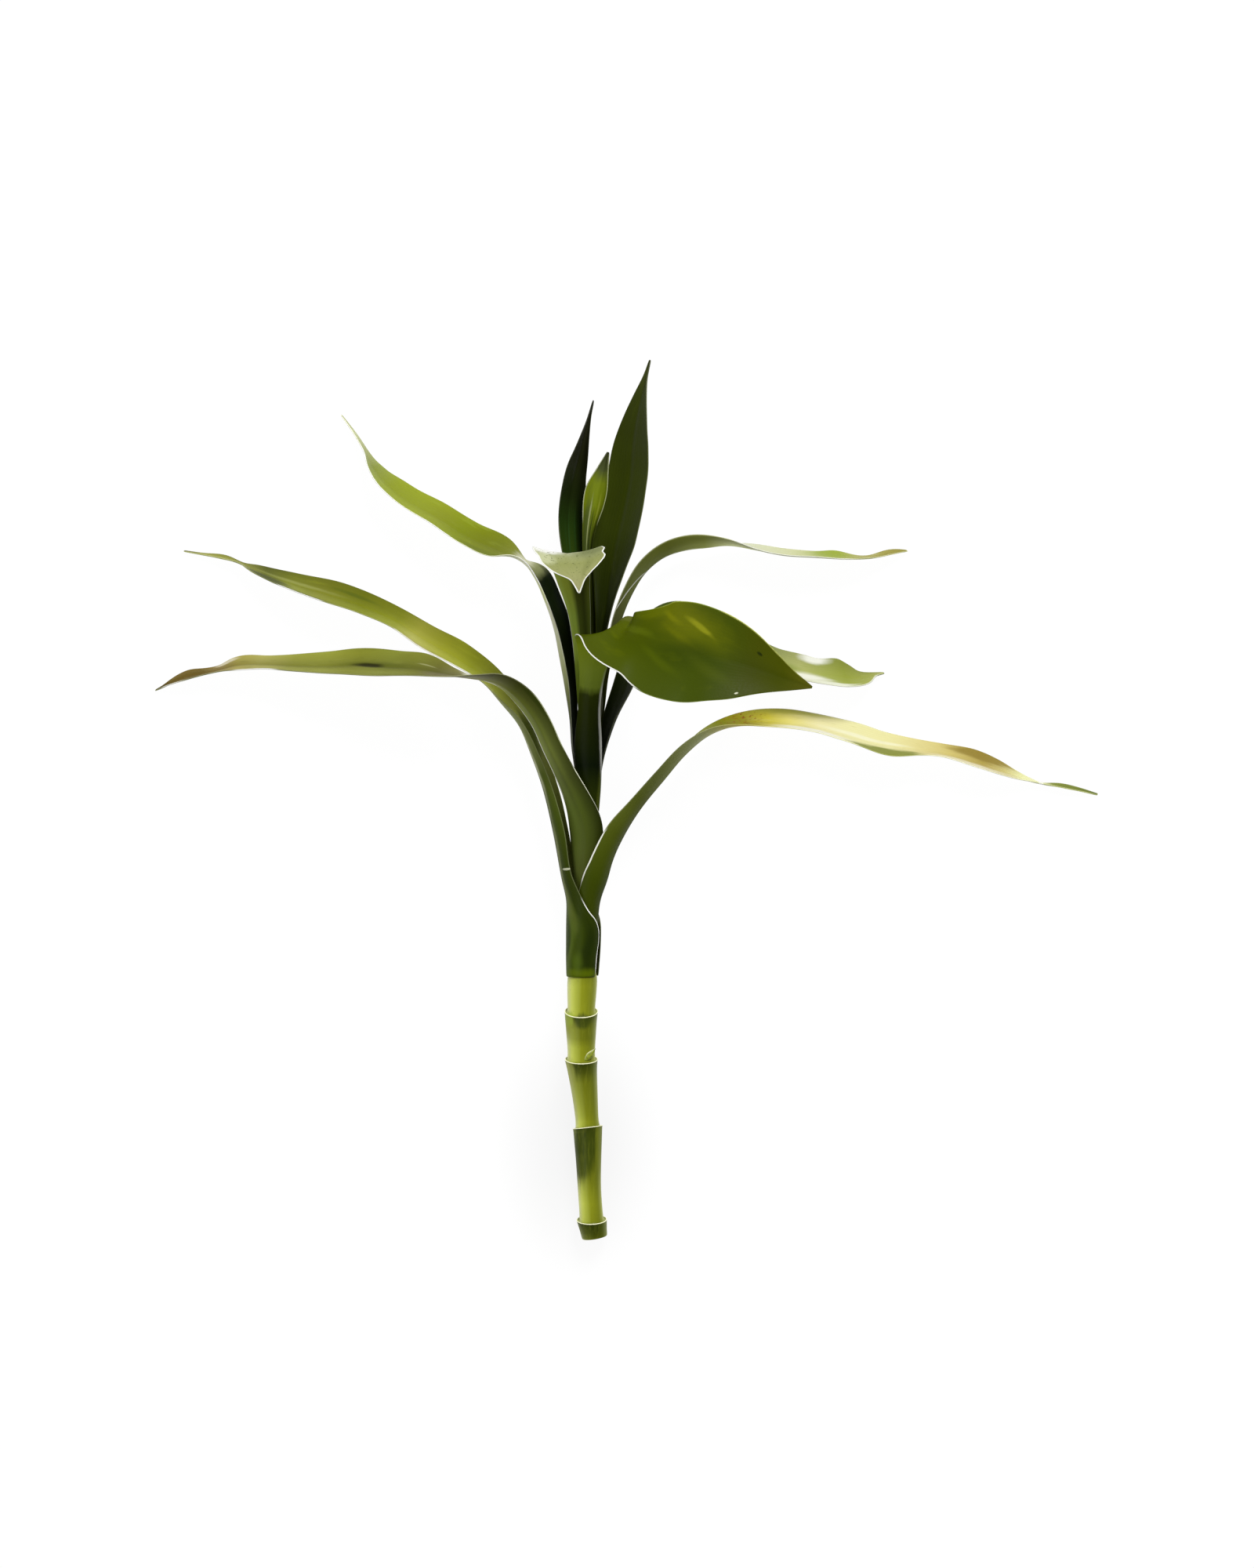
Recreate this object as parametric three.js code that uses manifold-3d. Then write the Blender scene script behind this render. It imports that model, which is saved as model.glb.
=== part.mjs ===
// Lucky bamboo cutting: a ringed cane with a cut foot and a crown of eleven
// strap leaves, lying on its back. Millimetres, +Z up.
//
// The plant lies along +Y, foot at -Y, and rests on the plane Z = 0 with its
// foot and the far margins of its side leaves. The origin is on that plane,
// under the middle of the plant's length and width.

import * as THREE from 'three';
import { mergeVertices } from 'three/addons/utils/BufferGeometryUtils.js';
import Module from 'manifold-3d';

const wasm = await Module();
wasm.setup();

// Driving dimensions of the whole plant
const BLADE_THICKNESS = 0.6;
const STEM_X = -13.7;
const STEM_Z = 15.95;
const STEM_SLANT = 0.03;
const STEM_RISE = 0.07;
const ROW_STEP = 7;
const SHORTEST_CUP = 0.02;
const SMALLEST_HALF_WIDTH = 0.3;

const RADIANS = Math.PI / 180;
const UP = new THREE.Vector3(0, 0, 1);

// The axis of the shoot, which the leaf sheaths wrap: a straight line that
// rises slowly from the foot to the crown.
function shootAxis(y) {
  return new THREE.Vector3(STEM_X + STEM_SLANT * y, y, STEM_Z + STEM_RISE * y);
}

// A station of a leaf is the place of its midrib, half the width of the blade
// measured round its curve, the cup (half the angle that the blade is curled
// through, in degrees) and the way its upper face looks. A roll of 0 turns
// the upper face up, 180 turns it down, and a face is a direction instead.
function blade(x, y, z, half, cup, roll) {
  return { at: new THREE.Vector3(x, y, z), half, cup: cup * RADIANS, roll: roll * RADIANS };
}

function bladeFacing(x, y, z, half, cup, face) {
  return { at: new THREE.Vector3(x, y, z), half, cup: cup * RADIANS, face: new THREE.Vector3(...face) };
}

// A station in the sheath, where the leaf is curled round the shoot: the
// azimuth goes from 0 on top to 90 on the +X side, and the wrap is half the
// angle that the sheath covers.
function sheath(y, azimuth, radius, wrap, shiftX = 0, shiftZ = 0) {
  const outward = new THREE.Vector3(Math.sin(azimuth * RADIANS), 0, Math.cos(azimuth * RADIANS));
  const centre = shootAxis(y).add(new THREE.Vector3(shiftX, 0, shiftZ));
  return {
    at: centre.addScaledVector(outward, radius),
    half: radius * wrap * RADIANS,
    cup: wrap * RADIANS,
    face: outward.clone().negate(),
  };
}

// Slopes of a smooth curve through values at uneven knots
function slopes(knots, values) {
  const last = knots.length - 1;
  const secant = (i) => (values[i + 1] - values[i]) / (knots[i + 1] - knots[i]);
  return values.map((value, i) => {
    if (i === 0) return secant(0);
    if (i === last) return secant(last - 1);
    const before = knots[i] - knots[i - 1];
    const after = knots[i + 1] - knots[i];
    return (secant(i - 1) * after + secant(i) * before) / (before + after);
  });
}

// Cubic step between two knots, with its own slope at each
function hermite(knots, values, slope, span, t) {
  const width = knots[span + 1] - knots[span];
  const t2 = t * t;
  const t3 = t2 * t;
  return (2 * t3 - 3 * t2 + 1) * values[span] + (t3 - 2 * t2 + t) * width * slope[span]
    + (3 * t2 - 2 * t3) * values[span + 1] + (t3 - t2) * width * slope[span + 1];
}

function perpendicular(vector, tangent) {
  return vector.clone().addScaledVector(tangent, -vector.dot(tangent)).normalize();
}

// The way the upper face looks at a station, square to the midrib
function faceOf(station, tangent) {
  if (station.face) return perpendicular(station.face, tangent);
  const side = UP.clone().cross(tangent).normalize();
  const top = tangent.clone().cross(side);
  return top.multiplyScalar(Math.cos(station.roll)).addScaledVector(side, Math.sin(station.roll));
}

// Rows of a leaf at even steps along its midrib
function leafRows(stations, step) {
  const knots = [0];
  for (let i = 1; i < stations.length; i += 1) {
    knots.push(knots[i - 1] + stations[i].at.distanceTo(stations[i - 1].at));
  }
  const column = (pick) => stations.map(pick);
  const place = ['x', 'y', 'z'].map((axis) => column((s) => s.at[axis]));
  const placeSlope = place.map((values) => slopes(knots, values));
  const tangents = stations.map((s, i) => new THREE.Vector3(...placeSlope.map((v) => v[i])).normalize());
  const faces = stations.map((s, i) => faceOf(s, tangents[i]));
  const face = ['x', 'y', 'z'].map((axis) => faces.map((f) => f[axis]));
  const channels = [...place, ...face, column((s) => s.half), column((s) => s.cup)];
  const channelSlopes = channels.map((values) => slopes(knots, values));

  const sample = (span, t) => {
    const [x, y, z, fx, fy, fz, half, cup] = channels.map(
      (values, k) => hermite(knots, values, channelSlopes[k], span, t));
    return { at: new THREE.Vector3(x, y, z), face: new THREE.Vector3(fx, fy, fz), half, cup };
  };

  const rows = [];
  for (let span = 0; span < stations.length - 1; span += 1) {
    const count = Math.max(1, Math.round((knots[span + 1] - knots[span]) / step));
    for (let i = 0; i < count; i += 1) rows.push(sample(span, i / count));
  }
  rows.push(sample(stations.length - 2, 1));

  rows.forEach((row, i) => {
    const before = rows[Math.max(0, i - 1)].at;
    const after = rows[Math.min(rows.length - 1, i + 1)].at;
    const tangent = after.clone().sub(before).normalize();
    row.normal = perpendicular(row.face, tangent);
    row.side = tangent.clone().cross(row.normal);
    row.half = Math.max(row.half, SMALLEST_HALF_WIDTH);
    row.cup = Math.max(row.cup, SHORTEST_CUP);
  });
  return rows;
}

// One closed blade: an upper and a lower face, split into triangles alike,
// joined round the margins, the base and the tip.
function leafGeometry(stations, columns) {
  const rows = leafRows(stations, ROW_STEP);
  const across = columns + 1;
  const points = [];
  for (const offset of [BLADE_THICKNESS / 2, -BLADE_THICKNESS / 2]) {
    for (const row of rows) {
      const radius = row.half / row.cup;
      for (let j = 0; j <= columns; j += 1) {
        const angle = row.cup * (2 * j / columns - 1);
        const level = radius - (radius - offset) * Math.cos(angle);
        const reach = (radius - offset) * Math.sin(angle);
        const point = row.at.clone().addScaledVector(row.side, reach).addScaledVector(row.normal, level);
        points.push(point.x, point.y, point.z);
      }
    }
  }

  const under = rows.length * across;
  const index = [];
  const quad = (a, b, c, d) => index.push(a, b, c, a, c, d);
  for (let i = 0; i < rows.length - 1; i += 1) {
    const near = i * across;
    const far = near + across;
    for (let j = 0; j < columns; j += 1) {
      quad(near + j, near + j + 1, far + j + 1, far + j);
      index.push(under + near + j, under + far + j + 1, under + near + j + 1);
      index.push(under + near + j, under + far + j, under + far + j + 1);
    }
    quad(near, far, under + far, under + near);
    quad(near + columns, under + near + columns, under + far + columns, far + columns);
  }
  const end = (rows.length - 1) * across;
  for (let j = 0; j < columns; j += 1) {
    quad(j, under + j, under + j + 1, j + 1);
    quad(end + j, end + j + 1, under + end + j + 1, under + end + j);
  }

  const geometry = new THREE.BufferGeometry();
  geometry.setAttribute('position', new THREE.Float32BufferAttribute(points, 3));
  geometry.setIndex(index);
  geometry.computeVertexNormals();
  return geometry;
}

// The cane: rings along a slightly wavering centre line. Each joint of the
// cane widens upward into a collar, and the next joint rises out of it.
const CANE_SIDES = 24;
const caneLine = [[-157, -11.2], [-150, -12.4], [-139, -13.2], [-118, -13.7], [-107, -14.6],
  [-94, -16], [-78, -16.1], [-63, -15.6], [-20, -14.3], [50, -12.2]];

function caneCentre(y) {
  const i = Math.max(0, Math.min(caneLine.length - 2, caneLine.findIndex(([end]) => end > y) - 1));
  const [y0, x0] = caneLine[i];
  const [y1, x1] = caneLine[i + 1];
  const x = x0 + (x1 - x0) * (y - y0) / (y1 - y0);
  return new THREE.Vector3(x, y, STEM_Z + STEM_RISE * y);
}

// [place along the cane, radius, how far the ring leans back]
const caneRings = [
  [-156.6, 4.5, 0.12], [-151.5, 5.15, 0.24],
  [-150.4, 5.35, 0.24], [-149.8, 5.2, 0.24], [-149.5, 4.2, 0.24],
  [-139, 4.16, 0.1], [-125, 4.65, 0.1], [-118.6, 5, 0],
  [-117.4, 5.25, 0], [-116.9, 5.05, 0], [-116.6, 4, 0],
  [-111, 4.15, 0.1], [-106.7, 4.5, 0.1], [-99.7, 5.04, 0.1], [-94.3, 5.6, 0.24],
  [-93.1, 5.85, 0.24], [-92.6, 5.6, 0.24], [-92.2, 4.8, 0.24],
  [-84, 5.2, 0.1], [-77.4, 5.75, 0.3],
  [-76.1, 5.95, 0.34], [-75.6, 5.7, 0.34], [-75.1, 4.75, 0.34],
  [-70.3, 5.26, 0], [-64, 5.4, 0], [-63.65, 4.65, 0],
  [-58, 4.5, 0], [-57.7, 3.75, 0], [-50.9, 3.7, 0], [-50.6, 2.8, 0],
  [-12, 2.75, 0], [0, 2.65, 0], [12, 2.4, 0], [22, 1.9, 0], [34, 1.3, 0], [42, 0.8, 0],
];

function caneGeometry() {
  const points = [];
  const index = [];
  const ring = (k) => 1 + k * CANE_SIDES;
  const [footY] = caneRings[0];
  const foot = caneCentre(footY);
  points.push(foot.x, foot.y, foot.z);
  for (const [y, radius, lean] of caneRings) {
    const centre = caneCentre(y);
    for (let i = 0; i < CANE_SIDES; i += 1) {
      const angle = 2 * Math.PI * i / CANE_SIDES;
      const dx = radius * Math.sin(angle);
      const dz = radius * Math.cos(angle);
      points.push(centre.x + dx, centre.y - lean * dz, centre.z + dz);
    }
  }
  const top = points.length / 3;
  const tip = caneCentre(caneRings.at(-1)[0]);
  points.push(tip.x, tip.y, tip.z);
  for (let i = 0; i < CANE_SIDES; i += 1) {
    const next = (i + 1) % CANE_SIDES;
    index.push(0, ring(0) + next, ring(0) + i);
    for (let k = 0; k < caneRings.length - 1; k += 1) {
      index.push(ring(k) + i, ring(k) + next, ring(k + 1) + next);
      index.push(ring(k) + i, ring(k + 1) + next, ring(k + 1) + i);
    }
    index.push(top, ring(caneRings.length - 1) + i, ring(caneRings.length - 1) + next);
  }
  const geometry = new THREE.BufferGeometry();
  geometry.setAttribute('position', new THREE.Float32BufferAttribute(points, 3));
  geometry.setIndex(index);
  return geometry;
}

// The dormant bud above the second collar, on the front right of the cane
const BUD_LENGTH = 3.5;
const BUD_WIDTH = 1.7;
const BUD_X = -13.1;
const BUD_Y = -91.2;
function budGeometry() {
  const bud = new THREE.SphereGeometry(1, 10, 8);
  bud.scale(BUD_WIDTH, BUD_LENGTH, BUD_WIDTH * 0.8);
  bud.rotateZ(-42 * RADIANS);
  bud.translate(BUD_X, BUD_Y, caneCentre(BUD_Y).z + 3.5);
  return bud;
}

function manifoldOf(geometry) {
  const bare = new THREE.BufferGeometry();
  bare.setAttribute('position', geometry.getAttribute('position'));
  bare.setIndex(geometry.getIndex());
  const merged = mergeVertices(bare, 1e-4);
  return new wasm.Manifold(new wasm.Mesh({
    numProp: 3,
    vertProperties: new Float32Array(merged.getAttribute('position').array),
    triVerts: new Uint32Array(merged.getIndex().array),
  }));
}

function geometryOf(manifold) {
  const mesh = manifold.getMesh();
  const geometry = new THREE.BufferGeometry();
  geometry.setAttribute('position', new THREE.BufferAttribute(new Float32Array(mesh.vertProperties), 3));
  geometry.setIndex(new THREE.BufferAttribute(new Uint32Array(mesh.triVerts), 1));
  geometry.computeVertexNormals();
  return geometry;
}

// Outermost leaf: its sheath closes the top of the cane, its stalk is a
// channel that leans left, and its long blade lies to the upper left.
const leftOuter = [
  sheath(-63.2, -111, 5.6, 168),
  sheath(-55, -111, 6.0, 168),
  sheath(-45, -101, 6.1, 161),
  sheath(-41, -103, 6.15, 136),
  sheath(-36.7, -101, 6.2, 102),
  blade(-22.6, -28.3, 12.8, 8.6, 75, -80),
  blade(-25.7, -11.5, 14.4, 8.0, 74, -84),
  blade(-29.7, 5.3, 15, 6.3, 92, -75),
  blade(-33.7, 16.5, 14.5, 6.3, 80, -73),
  blade(-37.6, 26, 13, 6.8, 62, -70),
  blade(-43.2, 33.8, 10.8, 7.8, 45, -66),
  blade(-49, 41.6, 9.2, 8.8, 32, -64),
  blade(-59.8, 49.7, 8.7, 9.8, 24, -62),
  blade(-71.2, 56.2, 8.7, 9.8, 22, -62),
  blade(-82.4, 63.3, 8.6, 9, 22, -64),
  blade(-94, 68.3, 8.6, 9.4, 22, -62),
  blade(-105.2, 72.2, 8.4, 9.4, 22, -61),
  blade(-116.8, 75.8, 7, 8, 22, -63),
  blade(-128, 79.8, 5, 5.6, 20, -64),
  blade(-134.4, 82.6, 3.8, 3.6, 16, -68),
  blade(-138, 84.4, 3, 2.4, 12, -84),
  blade(-143.5, 86.2, 2.4, 2, 14, -66),
  blade(-150.9, 87.6, 1.7, 0.8, 12, -60),
  blade(-158.5, 89, 1.2, 0.35, 8, -60),
];

// Second leaf: broad stalk in front, half a turn at its narrowest, then a
// long blade that comes down to the left.
const leftLower = [
  sheath(-50.2, -20, 3.5, 150),
  sheath(-43, -20, 3.5, 140),
  sheath(-36.7, -18, 3.5, 126),
  sheath(-28.3, -10, 4.1, 108, -0.3),
  sheath(-22.7, -5, 5, 90),
  sheath(-11.5, -2, 6.0, 78, 0, 0.3),
  blade(-18.1, 0.3, 23.6, 5.6, 58, -165),
  blade(-21.3, 6.7, 24.8, 4.9, 50, -155),
  blade(-26.7, 17.2, 26, 4.7, 44, -146),
  blade(-31.6, 27.4, 27, 5.2, 42, -137),
  blade(-37, 34.6, 27.6, 6.4, 36, -126),
  blade(-45.6, 41, 27.8, 7, 26, -108),
  blade(-54.6, 42.8, 29, 7.4, 14, -92),
  blade(-62.7, 43.8, 28.6, 8.6, 16, -78),
  blade(-73.4, 46, 26, 9.6, 20, -62),
  blade(-83.7, 46.6, 21, 10, 20, -60),
  blade(-94.9, 47.4, 15.5, 10.1, 20, -60),
  blade(-106.1, 47.2, 12.5, 9, 20, -62),
  blade(-117.3, 47.4, 10, 8, 20, -65),
  blade(-128.5, 48, 7.6, 6.4, 18, -67),
  blade(-139.7, 47.7, 5.8, 5.4, 18, -64),
  blade(-145.5, 46, 5, 4.4, 16, -75),
  blade(-151, 44.9, 4.4, 4, 16, -70),
  blade(-156.5, 43.9, 3.8, 3.9, 16, -60),
  blade(-162, 42, 2.6, 2.5, 14, -58),
  blade(-166, 40.2, 1.6, 0.8, 12, -58),
  blade(-168.9, 39, 1, 0.35, 8, -58),
];

// Third leaf of the left side: a stalk seen on its edge, a twist, and a
// blade to the upper left with a thin twisted tail.
const leftUpper = [
  sheath(0, -112, 3.7, 44),
  sheath(8, -113, 4, 42, -0.4),
  sheath(19, -112, 4.6, 44, -1.6),
  sheath(28, -110, 4.6, 46, -2.4),
  blade(-21.3, 39, 17.2, 6, 56, -74),
  blade(-23.2, 50.5, 17.4, 7, 64, -68),
  blade(-24.9, 60.5, 16.9, 6.9, 64, -62),
  blade(-28.3, 71, 16.6, 6.6, 56, -62),
  blade(-32.2, 79.5, 17.2, 7.3, 40, -68),
  blade(-36.6, 84.2, 17.2, 8, 16, -86),
  blade(-44.8, 88, 15, 9.6, 18, -62),
  blade(-56.4, 93.2, 12.5, 10, 20, -60),
  blade(-67.7, 100.4, 10.6, 9.5, 20, -61),
  blade(-79, 107, 8.8, 8.8, 20, -61),
  blade(-85.8, 112.6, 7.4, 7.8, 18, -62),
  blade(-90.2, 118, 5.6, 5.6, 16, -66),
  blade(-93.2, 124, 3.8, 3, 14, -74),
  blade(-97.2, 131, 2.4, 1.3, 12, -66),
  blade(-101.9, 137.8, 1.2, 0.35, 8, -60),
];

// Lower right leaf: its sheath lies inside that of the outermost leaf, its
// stalk swings out to the right, and its blade lies along the surface.
const rightLower = [
  sheath(-57.2, 80, 4.6, 150),
  sheath(-45, 80, 4.6, 136, 0.1),
  sheath(-36.7, 78, 4.85, 118, 0.35),
  sheath(-28.3, 76, 6.1, 102, 1.7, 0.2),
  sheath(-22.7, 78, 6.3, 90, 2.8, 0.5),
  sheath(-11.5, 88, 5.9, 92, 7.9),
  blade(4.4, -4, 15.2, 7, 72, 100),
  blade(13.4, 7.2, 15.2, 6.3, 60, 100),
  blade(21.5, 16.6, 14.4, 6.6, 50, 95),
  blade(29.5, 23, 12.8, 7.4, 36, 86),
  blade(38, 26.2, 10.8, 8.2, 26, 76),
  blade(47, 27.4, 9.4, 8.9, 22, 69),
  blade(56.3, 27.3, 8.7, 9.1, 22, 67),
  blade(67.5, 25.6, 8.5, 9, 22, 67),
  blade(78.7, 22.6, 8.5, 9.4, 22, 66),
  blade(89.9, 19.5, 8.2, 9, 22, 66),
  blade(101.1, 17.9, 7.2, 7.6, 20, 66),
  blade(112.3, 16.5, 6.4, 6.6, 20, 68),
  blade(123.5, 13.7, 6.6, 7.2, 20, 64),
  blade(134.7, 10, 4.8, 5.3, 18, 64),
  blade(141.5, 7.6, 3, 2.8, 14, 66),
  blade(147.5, 5.9, 2.1, 1.4, 12, 72),
  blade(156.5, 4.5, 1.8, 1.7, 14, 56),
  blade(163, 3.2, 1.5, 1.1, 12, 56),
  blade(169, 1.8, 1.1, 0.35, 8, 56),
];

// Middle right leaf: it arches up behind the large front leaf and comes out
// to its right with a blunt end and a small drip tip.
const rightMiddle = [
  sheath(4, 116, 3.6, 42),
  sheath(16.5, 118, 4, 44, 1.6),
  blade(-4.6, 27.7, 15, 5.6, 44, 64),
  blade(-0.1, 38.9, 14.2, 6.6, 36, 56),
  blade(4, 50.3, 13.6, 7.4, 28, 56),
  blade(9.4, 60.6, 13.2, 8, 22, 58),
  blade(16.5, 65.2, 12.8, 8.4, 20, 58),
  blade(26, 63, 12.2, 8.6, 20, 57),
  blade(35.5, 57.8, 11.2, 8.7, 20, 56),
  blade(44.5, 52, 10, 8.8, 20, 56),
  blade(53, 47.8, 9.2, 8.8, 20, 56),
  blade(61.5, 45.8, 8.6, 8.7, 20, 56),
  blade(70.6, 44.2, 7.8, 8.4, 20, 56),
  blade(79, 43, 6.2, 7.2, 18, 57),
  blade(84.6, 43.1, 4.6, 5.4, 16, 58),
  blade(88, 44.4, 2.8, 1.9, 12, 60),
  blade(92.4, 45.4, 1.6, 0.35, 8, 60),
];

// Upper right leaf: a thin arching stalk, a twist, and a blade that stands
// on its edge.
const rightUpper = [
  sheath(20, 98, 3, 44),
  sheath(32, 99, 3.4, 44, 1.2),
  blade(-6.6, 44.5, 18.8, 4.6, 50, 92),
  blade(-4.4, 54.5, 18.8, 5, 50, 96),
  blade(-2.1, 63.5, 18.2, 5.3, 48, 100),
  blade(1.5, 72.4, 17, 5.6, 46, 103),
  blade(7.4, 81.6, 15.2, 6.6, 44, 105),
  blade(14, 86.8, 13.4, 7.2, 42, 106),
  blade(22.2, 89.4, 11.8, 7.7, 38, 106),
  blade(29.6, 90.1, 10.8, 7.5, 30, 103),
  blade(36.7, 90.6, 10.2, 7.5, 16, 92),
  blade(45, 89.3, 9.4, 7.5, 14, 82),
  blade(56, 87.2, 8.8, 7.5, 14, 79),
  blade(67.5, 86.4, 8.4, 7.4, 14, 80),
  blade(78.7, 85.9, 7.4, 6.4, 14, 80),
  blade(88, 86.3, 5.4, 4.2, 12, 80),
  blade(95.5, 88.3, 3.2, 2.3, 12, 66),
  blade(100.8, 89, 1.6, 0.35, 8, 60),
];

// Large front leaf: its stalk rises in front of the shoot and bends over
// into a broad blade that reaches up and to the right.
const frontLarge = [
  sheath(-10, 5, 3.8, 75),
  sheath(5.3, 3, 4.9, 66),
  blade(-13.4, 19.3, 22.9, 5.8, 60, 178),
  bladeFacing(-13, 33.3, 24.6, 4.5, 52, [0, 0, -1]),
  bladeFacing(-12, 44.5, 27, 5.2, 46, [0, 0.1, -1]),
  bladeFacing(-10.6, 53, 30, 7.4, 40, [-0.1, 0.5, -0.85]),
  bladeFacing(-8.5, 59, 35.5, 10.2, 22, [-0.45, 0.88, -0.1]),
  bladeFacing(-3.5, 55.4, 40, 12.2, 24, [-0.37, 0.73, 0.54]),
  bladeFacing(4, 54.3, 45, 13.7, 22, [-0.19, 0.31, 0.92]),
  bladeFacing(12.5, 51.8, 49, 17.4, 20, [-0.15, 0.2, 0.95]),
  bladeFacing(22, 50.8, 52, 18.2, 18, [-0.08, 0.15, 0.97]),
  bladeFacing(31, 49.5, 54, 16.3, 17, [0, 0.15, 1]),
  bladeFacing(40.5, 47.1, 54.6, 12.8, 16, [0, 0.15, 1]),
  bladeFacing(49.5, 44.2, 53.6, 7.9, 15, [0, 0.15, 1]),
  bladeFacing(57.5, 41.4, 51.2, 3.8, 14, [0, 0.15, 1]),
  bladeFacing(65.2, 39.1, 48, 0.35, 10, [0, 0.15, 1]),
];

// Front leaf that folds over: its stalk climbs in front of the top leaves
// and its short blade comes up and over with the tip hanging.
const frontFlap = [
  sheath(10, -14, 3.3, 44),
  sheath(20, -16, 3.8, 43),
  bladeFacing(-14.2, 40, 22.8, 4.2, 52, [0.1, 0, -1]),
  bladeFacing(-15.3, 50, 24, 3.8, 52, [0.1, 0, -1]),
  bladeFacing(-16.1, 58.5, 25.4, 3.9, 48, [0.1, 0, -1]),
  bladeFacing(-16.9, 66.5, 27.8, 4.6, 42, [0.1, 0.2, -1]),
  bladeFacing(-18.3, 75, 31.5, 6, 34, [0, 0.3, -1]),
  bladeFacing(-19.6, 82, 37.2, 8, 28, [0, 0.8, -0.7]),
  bladeFacing(-20.6, 86, 44.5, 12.2, 24, [0, 1, 0]),
  bladeFacing(-20.1, 84.8, 52.5, 12.4, 20, [0, 1, 0.3]),
  bladeFacing(-18.6, 81.2, 60, 9.4, 18, [0, 1, 0.5]),
  bladeFacing(-17.6, 78, 65.4, 7.4, 16, [0, 1, 0.5]),
  bladeFacing(-17, 75.9, 67.6, 3.2, 14, [0, 1, 0.5]),
  bladeFacing(-16.6, 73.8, 69.2, 1.6, 12, [0, 1, 0.5]),
  bladeFacing(-16.3, 71.4, 70.6, 0.35, 10, [0, 1, 0.5]),
];

// Tall top leaf, behind and to the right
const topTall = [
  sheath(28, 148, 2.9, 54),
  sheath(44.5, 146, 3.3, 52),
  blade(-9.2, 56, 15.3, 4, 56, 38),
  blade(-7.6, 66.4, 15, 5.2, 56, 36),
  blade(-6, 78, 13.8, 7.6, 34, 36),
  blade(-4.2, 89.3, 11.8, 10.6, 24, 37),
  blade(-1.2, 102, 9.6, 10.8, 20, 40),
  blade(1.3, 115, 7.8, 9.8, 18, 41),
  blade(2.2, 127, 5.9, 8.1, 16, 41),
  blade(3.6, 136, 4.6, 5.9, 15, 41),
  blade(5.4, 144.6, 3.2, 3.2, 14, 41),
  blade(6.9, 151, 2.1, 1.2, 12, 41),
  blade(8.3, 157.3, 1.3, 0.35, 8, 41),
];

// Dark top leaf, behind and to the left
const topDark = [
  sheath(34, -124, 3.8, 40),
  sheath(44.5, -122, 4.1, 40),
  blade(-17, 56, 17.4, 3.4, 48, -58),
  blade(-17.4, 67, 17.6, 4.2, 50, -52),
  blade(-18.6, 78, 17.6, 5.4, 34, -52),
  blade(-20, 89.3, 17, 7, 24, -52),
  blade(-20.5, 98, 16, 7.5, 20, -52),
  blade(-20, 106, 14.8, 7.4, 18, -52),
  blade(-18.8, 113.4, 13.6, 6.8, 16, -53),
  blade(-17, 121, 10.8, 5.1, 15, -55),
  blade(-15, 129, 10, 2.8, 14, -57),
  blade(-13.2, 135.8, 9.3, 1.1, 12, -57),
  blade(-11.3, 142.2, 8.7, 0.35, 8, -57),
];

// Young leaf in the middle, still rolled along its length
const topYoung = [
  sheath(42.6, 180, 1.6, 130),
  blade(-12.2, 60, 17.6, 3.4, 110, 5),
  blade(-12.9, 76, 17.8, 3.2, 100, 8),
  blade(-13.3, 90.4, 17.6, 3, 95, 12),
  blade(-12.4, 97.4, 17.2, 4, 86, 14),
  blade(-11, 103.8, 16.8, 5.2, 74, 16),
  blade(-9.9, 110, 16.6, 5, 62, 16),
  blade(-8.5, 115.6, 16.4, 3, 50, 18),
  blade(-6.5, 123.4, 16, 0.35, 20, 20),
];

// Every leaf with its stations, the facets across it and its colour
const leaves = {
  leaf_left_outer: [leftOuter, 10, 0x8f9a26],
  leaf_left_lower: [leftLower, 10, 0x8fa04e],
  leaf_left_upper: [leftUpper, 6, 0x86932f],
  leaf_right_lower: [rightLower, 10, 0xcdc96a],
  leaf_right_middle: [rightMiddle, 6, 0x7f9a45],
  leaf_right_upper: [rightUpper, 6, 0x6d7a3c],
  leaf_front_large: [frontLarge, 8, 0x6f7f10],
  leaf_front_flap: [frontFlap, 6, 0xa9b98a],
  leaf_top_tall: [topTall, 6, 0x2c3310],
  leaf_top_dark: [topDark, 6, 0x1b2412],
  leaf_top_young: [topYoung, 6, 0x7c8c2c],
};

const plant = new THREE.Group();

function addNode(name, geometry, colour, roughness) {
  const material = new THREE.MeshStandardMaterial({ color: colour, roughness, metalness: 0, flatShading: true });
  const mesh = new THREE.Mesh(geometry, material);
  mesh.name = name;
  plant.add(mesh);
}

const cane = manifoldOf(caneGeometry()).add(manifoldOf(budGeometry()));
addNode('cane', geometryOf(cane), 0x8f9a1e, 0.45);
for (const [name, [stations, columns, colour]] of Object.entries(leaves)) {
  addNode(name, leafGeometry(stations, columns), colour, 0.4);
}

export default plant;
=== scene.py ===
# %% [markdown]
# # A lucky bamboo cutting
# The plant is a cut cane with leaf scars ringed round it and eleven long strap
# leaves. It lies on its back, and the camera looks straight down on it. Every
# leaf could be sculpted by hand, but a leaf is one idea repeated: a ribbon
# that wraps the stem at its base, narrows into a channel and opens into a
# blade. So the script has one way of growing a leaf, and each leaf brings its
# own stations and its own look.

import bisect
import math

import bmesh
import bpy
from mathutils import Matrix, Vector, noise


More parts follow.
